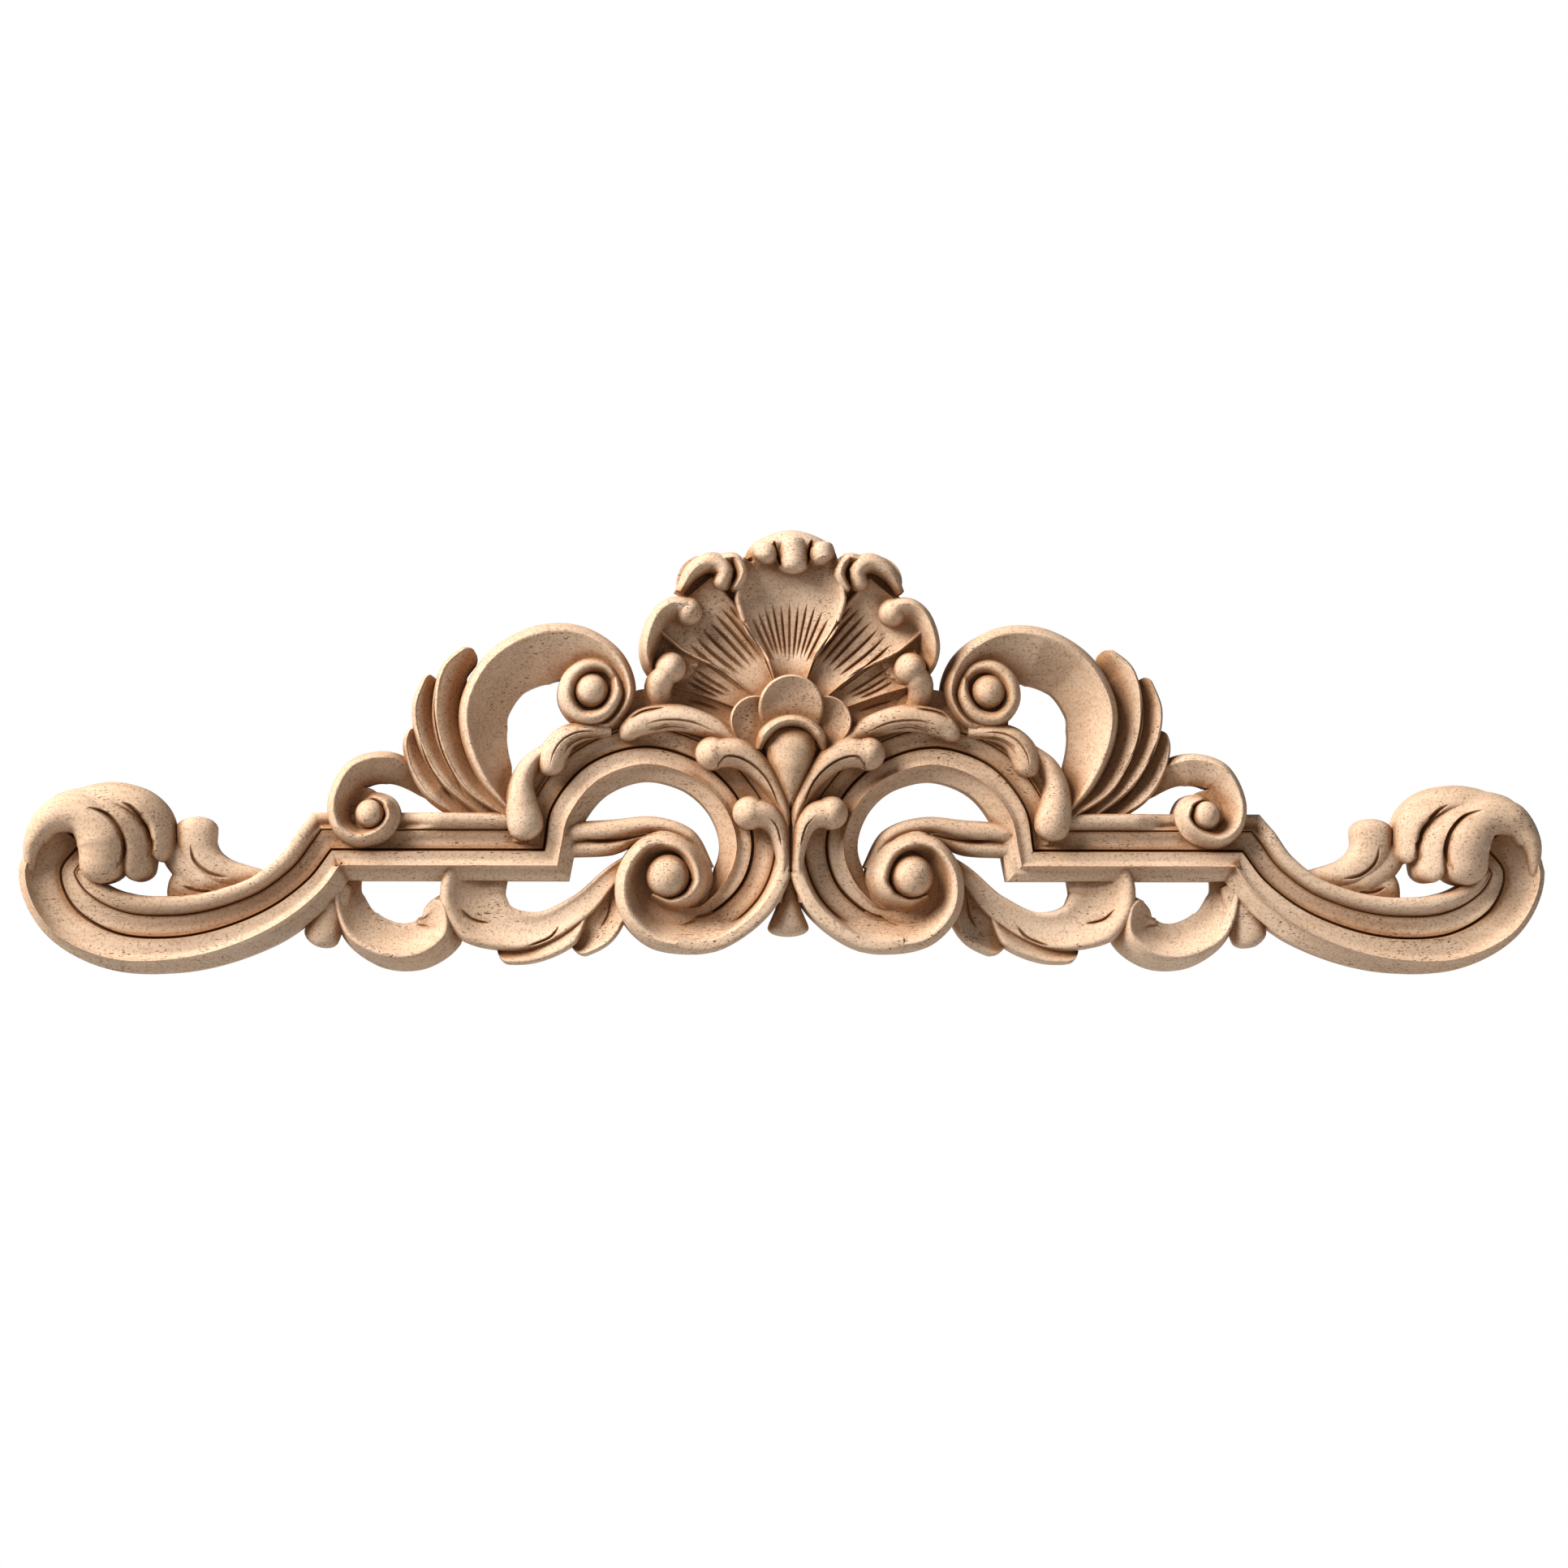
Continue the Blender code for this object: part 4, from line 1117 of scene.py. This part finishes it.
def largest_part(bm):
    """The vertices of the largest part of a mesh whose parts don't touch."""
    parts = []
    loose = set(bm.verts)
    while loose:
        part = set()
        front = {loose.pop()}
        while front:
            part |= front
            front = {e.other_vert(v) for v in front for e in v.link_edges} - part
        loose -= part
        parts.append(part)
    return max(parts, key=len)


# Chips that the tools have cut loose are brushed away.
bm = bmesh.new()
bm.from_mesh(onlay.data)
chips = set(bm.verts) - largest_part(bm)
bmesh.ops.delete(bm, geom=list(chips), context="VERTS")
bm.to_mesh(onlay.data)
bm.free()
SHARP_EDGE = 38  # degrees between two faces past which their edge looks sharp
onlay.data.shade_smooth()
onlay.data.set_sharp_from_angle(angle=math.radians(SHARP_EDGE))
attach(onlay, "root")
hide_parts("onlay")

# The wood is pale, close-grained and bare, straight from the carver: short dark pores lie along the
# length of the piece, and the cut surface is slightly furry. Shade is painted into the colour as well:
# where other wood stands close in front of a surface, the colour is darkened towards a deep brown,
# in place of the shade that falls in the recesses.

PALE_WOOD = (0.66, 0.495, 0.365, 1)
DEEP_WOOD = (0.50, 0.325, 0.205, 1)
# painted shade: the deep brown that the colour is darkened towards where other wood stands close, in place
# of real shade in the recesses
PAINTED_SHADE_BROWN = (0.33, 0.165, 0.075, 1)
PORE_BROWN = (0.13, 0.07, 0.035, 1)
FUR_SHADE = (0.42, 0.33, 0.27, 1)
# The next settings shape the mask of the painted shade, found by casting rays from each vertex.
SHADE_RAY_REACH = 0.013  # metres within which other wood makes a surface count as hollow
SHADE_RAY_START = 0.0002  # metres off the surface at which the look outward starts
SHADE_RAYS = 16
SHADE_SOFTENING = 2  # times that the result is blended with the vertices next to it
BACK_EDGE = 0.0005  # metres in front of the sawn back that still count as the back


def paint_occlusion_shade(body):
    """Keep on each vertex, as the attribute hollow, how much of what it faces is other wood close by: the
    mask for the painted shade.
    """
    bm = bmesh.new()
    bm.from_mesh(body.data)
    tree = BVHTree.FromBMesh(bm)
    spread = []
    for i in range(SHADE_RAYS):
        lean = math.sqrt((i + 0.5) / SHADE_RAYS)
        turn = i * math.pi * (3 - math.sqrt(5))
        spread.append(Vector((lean * math.cos(turn), lean * math.sin(turn), math.sqrt(1 - lean * lean))))
    up = Vector((0, 0, 1))
    shares = []
    for v in bm.verts:
        turned = up.rotation_difference(v.normal)
        start = v.co + v.normal * SHADE_RAY_START
        share = 0.0
        for way in spread:
            distance = tree.ray_cast(start, turned @ way, SHADE_RAY_REACH)[3]
            if distance is not None:
                share += 1 - distance / SHADE_RAY_REACH
        shares.append(share / SHADE_RAYS if v.co.y < -BACK_EDGE else 0.0)
    for _ in range(SHADE_SOFTENING):
        softened = []
        for v in bm.verts:
            around = [shares[e.other_vert(v).index] for e in v.link_edges]
            mean = sum(around) / len(around)
            softened.append(0.5 * (shares[v.index] + mean) if shares[v.index] else 0.0)
        shares = softened
    bm.free()
    body.data.attributes.new("hollow", "FLOAT", "POINT").data.foreach_set("value", shares)


# The hollows are marked so that shade can be painted into the wood's colour there.
paint_occlusion_shade(onlay)


def new_group(name, inputs, outputs):
    """An empty node group with named sockets, as (tree, input node, output node)."""
    tree = bpy.data.node_groups.new(name, "ShaderNodeTree")
    for socket, kind, value in inputs:
        made = tree.interface.new_socket(socket, in_out="INPUT", socket_type=kind)
        if value is not None:
            made.default_value = value
    for socket, kind in outputs:
        tree.interface.new_socket(socket, in_out="OUTPUT", socket_type=kind)
    return tree, tree.nodes.new("NodeGroupInput"), tree.nodes.new("NodeGroupOutput")


def add(tree, kind, settings=None, **values):
    """A node with its settings, and values for its inputs by name."""
    node = tree.nodes.new(kind)
    for key, value in (settings or {}).items():
        setattr(node, key, value)
    for key, value in values.items():
        node.inputs[key.replace("_", " ")].default_value = value
    return node


def along_the_grain(tree, given, length, width):
    """The group's vector, counted in lengths along the piece and in widths across it."""
    size = add(tree, "ShaderNodeCombineXYZ")
    stretched = add(tree, "ShaderNodeVectorMath", {"operation": "DIVIDE"})
    tree.links.new(given.outputs[length], size.inputs["X"])
    tree.links.new(given.outputs[width], size.inputs["Y"])
    tree.links.new(given.outputs[width], size.inputs["Z"])
    tree.links.new(given.outputs["Vector"], stretched.inputs[0])
    tree.links.new(size.outputs[0], stretched.inputs[1])
    return stretched.outputs[0]


def grain_group():
    """Long soft streaks along the piece, and the slow change of tone from place to place."""
    tree, given, out = new_group(
        "wood_grain",
        [
            ("Vector", "NodeSocketVector", None),
            ("Streak Length", "NodeSocketFloat", 0.03),
            ("Streak Width", "NodeSocketFloat", 0.0016),
        ],
        [("Streaks", "NodeSocketFloat"), ("Tone", "NodeSocketFloat")],
    )
    streaks = add(tree, "ShaderNodeTexNoise", Scale=1, Detail=3, Roughness=0.6, Distortion=0.2)
    tone = add(tree, "ShaderNodeTexNoise", Scale=22, Detail=2, Roughness=0.5)
    stretched = along_the_grain(tree, given, "Streak Length", "Streak Width")
    tree.links.new(stretched, streaks.inputs["Vector"])
    tree.links.new(given.outputs["Vector"], tone.inputs["Vector"])
    tree.links.new(streaks.outputs["Fac"], out.inputs["Streaks"])
    tree.links.new(tone.outputs["Fac"], out.inputs["Tone"])
    return tree


def pore_group():
    """Short dark pores, cut open along the grain, thick in some places and few in others."""
    tree, given, out = new_group(
        "wood_pores",
        [
            ("Vector", "NodeSocketVector", None),
            ("Length", "NodeSocketFloat", 0.0012),
            ("Width", "NodeSocketFloat", 0.00035),
            ("Amount", "NodeSocketFloat", 0.5),
        ],
        [("Pores", "NodeSocketFloat")],
    )
    # A pore opens where the cells pass a threshold, which falls with the amount and from patch to patch.
    cells = add(tree, "ShaderNodeTexNoise", Scale=1, Detail=1, Roughness=0.4)
    patches = add(tree, "ShaderNodeTexNoise", Scale=70, Detail=2, Roughness=0.6)
    patch = add(tree, "ShaderNodeMapRange", From_Min=0.35, From_Max=0.65, To_Min=0.12, To_Max=-0.03)
    level = add(tree, "ShaderNodeMath", {"operation": "SUBTRACT"})
    shift = add(tree, "ShaderNodeMath", {"operation": "MULTIPLY_ADD"})
    shift.inputs[1].default_value = -0.1
    shift.inputs[2].default_value = 0.7
    threshold = add(tree, "ShaderNodeMath", {"operation": "ADD"})
    open_pore = add(tree, "ShaderNodeMapRange", From_Min=0.0, From_Max=0.05)
    tree.links.new(along_the_grain(tree, given, "Length", "Width"), cells.inputs["Vector"])
    tree.links.new(given.outputs["Vector"], patches.inputs["Vector"])
    tree.links.new(patches.outputs["Fac"], patch.inputs["Value"])
    tree.links.new(given.outputs["Amount"], shift.inputs[0])
    tree.links.new(shift.outputs[0], threshold.inputs[0])
    tree.links.new(patch.outputs["Result"], threshold.inputs[1])
    tree.links.new(cells.outputs["Fac"], level.inputs[0])
    tree.links.new(threshold.outputs[0], level.inputs[1])
    tree.links.new(level.outputs[0], open_pore.inputs["Value"])
    tree.links.new(open_pore.outputs["Result"], out.inputs["Pores"])
    return tree


wood = bpy.data.materials.new("bare_carved_wood")
wood.use_nodes = True
tree = wood.node_tree
shader = tree.nodes["Principled BSDF"]
shader.inputs["Roughness"].default_value = 0.8
shader.inputs["Specular IOR Level"].default_value = 0.25
on_wood = add(tree, "ShaderNodeTexCoord")
grain = add(tree, "ShaderNodeGroup", {"node_tree": grain_group()})
pores = add(tree, "ShaderNodeGroup", {"node_tree": pore_group()})
streak_tone = add(tree, "ShaderNodeMath", {"operation": "MULTIPLY_ADD"})
streak_tone.inputs[1].default_value = 0.8
depth_of_tone = add(tree, "ShaderNodeMapRange", From_Min=0.55, From_Max=1.25)
plain = add(tree, "ShaderNodeMix", {"data_type": "RGBA"})
plain.inputs[6].default_value = PALE_WOOD
plain.inputs[7].default_value = DEEP_WOOD
# Painted shade: the colour is darkened towards a deep brown where the hollow attribute is high, standing in
# for the shade in the recesses.
hollow = add(tree, "ShaderNodeAttribute", {"attribute_name": "hollow"})
painted_shade_amount = add(tree, "ShaderNodeMapRange", From_Min=0.05, From_Max=0.31, To_Max=0.95)
painted_shade = add(tree, "ShaderNodeMix", {"data_type": "RGBA"})
painted_shade.inputs[7].default_value = PAINTED_SHADE_BROWN
furry = add(tree, "ShaderNodeMix", {"data_type": "RGBA", "blend_type": "MULTIPLY"})
furry.inputs[7].default_value = FUR_SHADE
pored = add(tree, "ShaderNodeMix", {"data_type": "RGBA"})
pored.inputs[7].default_value = PORE_BROWN
fur = add(tree, "ShaderNodeTexNoise", Scale=1500, Detail=3, Roughness=0.7)
fur_tone = add(tree, "ShaderNodeMapRange", From_Min=0.5, From_Max=0.78)
skin = add(tree, "ShaderNodeMath", {"operation": "MULTIPLY_ADD"})
skin.inputs[1].default_value = -1.6
relief = add(tree, "ShaderNodeBump", Strength=0.35, Distance=0.0003)
tree.links.new(on_wood.outputs["Object"], grain.inputs["Vector"])
tree.links.new(on_wood.outputs["Object"], pores.inputs["Vector"])
tree.links.new(on_wood.outputs["Object"], fur.inputs["Vector"])
tree.links.new(grain.outputs["Streaks"], streak_tone.inputs[0])
tree.links.new(grain.outputs["Tone"], streak_tone.inputs[2])
tree.links.new(streak_tone.outputs[0], depth_of_tone.inputs["Value"])
tree.links.new(depth_of_tone.outputs["Result"], plain.inputs[0])
tree.links.new(hollow.outputs["Fac"], painted_shade_amount.inputs["Value"])
tree.links.new(painted_shade_amount.outputs["Result"], painted_shade.inputs[0])
tree.links.new(plain.outputs[2], painted_shade.inputs[6])
tree.links.new(fur.outputs["Fac"], fur_tone.inputs["Value"])
tree.links.new(fur_tone.outputs["Result"], furry.inputs[0])
tree.links.new(painted_shade.outputs[2], furry.inputs[6])
tree.links.new(furry.outputs[2], pored.inputs[6])
tree.links.new(pores.outputs["Pores"], pored.inputs[0])
tree.links.new(pored.outputs[2], shader.inputs["Base Color"])
tree.links.new(pores.outputs["Pores"], skin.inputs[0])
tree.links.new(fur.outputs["Fac"], skin.inputs[2])
tree.links.new(skin.outputs[0], relief.inputs["Height"])
tree.links.new(relief.outputs["Normal"], shader.inputs["Normal"])
onlay.data.materials.clear()
onlay.data.materials.append(wood)

# The studio: a pale floor well below the hanging piece, a large soft light high on the left, a weak
# fill from the right and an even white surround.

FLOOR_BELOW = 0.7  # metres from the middle of the onlay down to the floor
FLOOR_SIDE = 1.2
bm = bmesh.new()
bmesh.ops.create_grid(bm, x_segments=1, y_segments=1, size=FLOOR_SIDE)
bmesh.ops.translate(bm, vec=(0, 0, -FLOOR_BELOW), verts=bm.verts)
floor = finished(bm, "floor", bpy.context.scene.collection)
floor_paint = bpy.data.materials.new("pale_floor")
floor_paint.use_nodes = True
paint_shader = floor_paint.node_tree.nodes["Principled BSDF"]
paint_shader.inputs["Base Color"].default_value = (0.9, 0.9, 0.9, 1)
paint_shader.inputs["Roughness"].default_value = 0.9
floor.data.materials.append(floor_paint)


def soft_light(name, stand_place, size, watts, tint, beam):
    """A round soft light that is aimed at the middle of the onlay, its beam in degrees."""
    lamp = bpy.data.lights.new(name, "AREA")
    lamp.spread = math.radians(beam)
    lamp.shape = "DISK"
    lamp.size = size
    lamp.energy = watts
    lamp.color = tint
    stand = bpy.data.objects.new(name, lamp)
    bpy.context.scene.collection.objects.link(stand)
    stand.location = stand_place
    stand.rotation_euler = (-Vector(stand_place)).to_track_quat("-Z", "Y").to_euler()


soft_light("key_light", (-1.3, -0.78, 1.1), 1.2, 20, (1.0, 0.975, 0.94), 80)
soft_light("fill_light", (1.2, -1.6, -0.1), 1.4, 2.8, (1.0, 0.96, 0.9), 180)

bpy.context.scene.view_settings.view_transform = "Standard"
world = bpy.data.worlds.new("studio_surround")
bpy.context.scene.world = world
world.use_nodes = True
surround = world.node_tree.nodes["Background"]
seen = world.node_tree.nodes.new("ShaderNodeLightPath")
level = add(world.node_tree, "ShaderNodeMapRange", To_Min=0.2, To_Max=1.0)
world.node_tree.links.new(seen.outputs["Is Camera Ray"], level.inputs["Value"])
world.node_tree.links.new(level.outputs["Result"], surround.inputs["Strength"])
surround.inputs["Color"].default_value = (1, 1, 1, 1)

# The camera stands a little left of the axis and a little below the onlay. It looks at a point halfway
# up the carving, and its frame is as wide as the onlay and a narrow margin on each side.

FRAME_WIDTH = 1932 * SQUARE  # what the frame takes in at the onlay's distance
SENSOR_WIDTH = 36
DISTANCE = 1.15
YAW = 3.4  # degrees to the left of straight on
BELOW = 2.5  # degrees below level
AIM_LEFT = 7 * SQUARE  # from the axis
AIM_LOW = 40 * SQUARE  # from the middle of the plan
AIM_FRONT = 0.009  # from the back
aim = Vector((-AIM_LEFT, -AIM_FRONT, -AIM_LOW))
yaw = math.radians(YAW)
below = math.radians(BELOW)
lens_view = bpy.data.cameras.new("camera")
camera = bpy.data.objects.new("camera", lens_view)
bpy.context.scene.collection.objects.link(camera)
camera.location = aim + DISTANCE * Vector(
    (-math.sin(yaw) * math.cos(below), -math.cos(yaw) * math.cos(below), -math.sin(below))
)
camera.rotation_euler = (aim - camera.location).to_track_quat("-Z", "Y").to_euler()
lens_view.sensor_width = SENSOR_WIDTH
lens_view.lens = SENSOR_WIDTH * DISTANCE / FRAME_WIDTH
bpy.context.scene.camera = camera
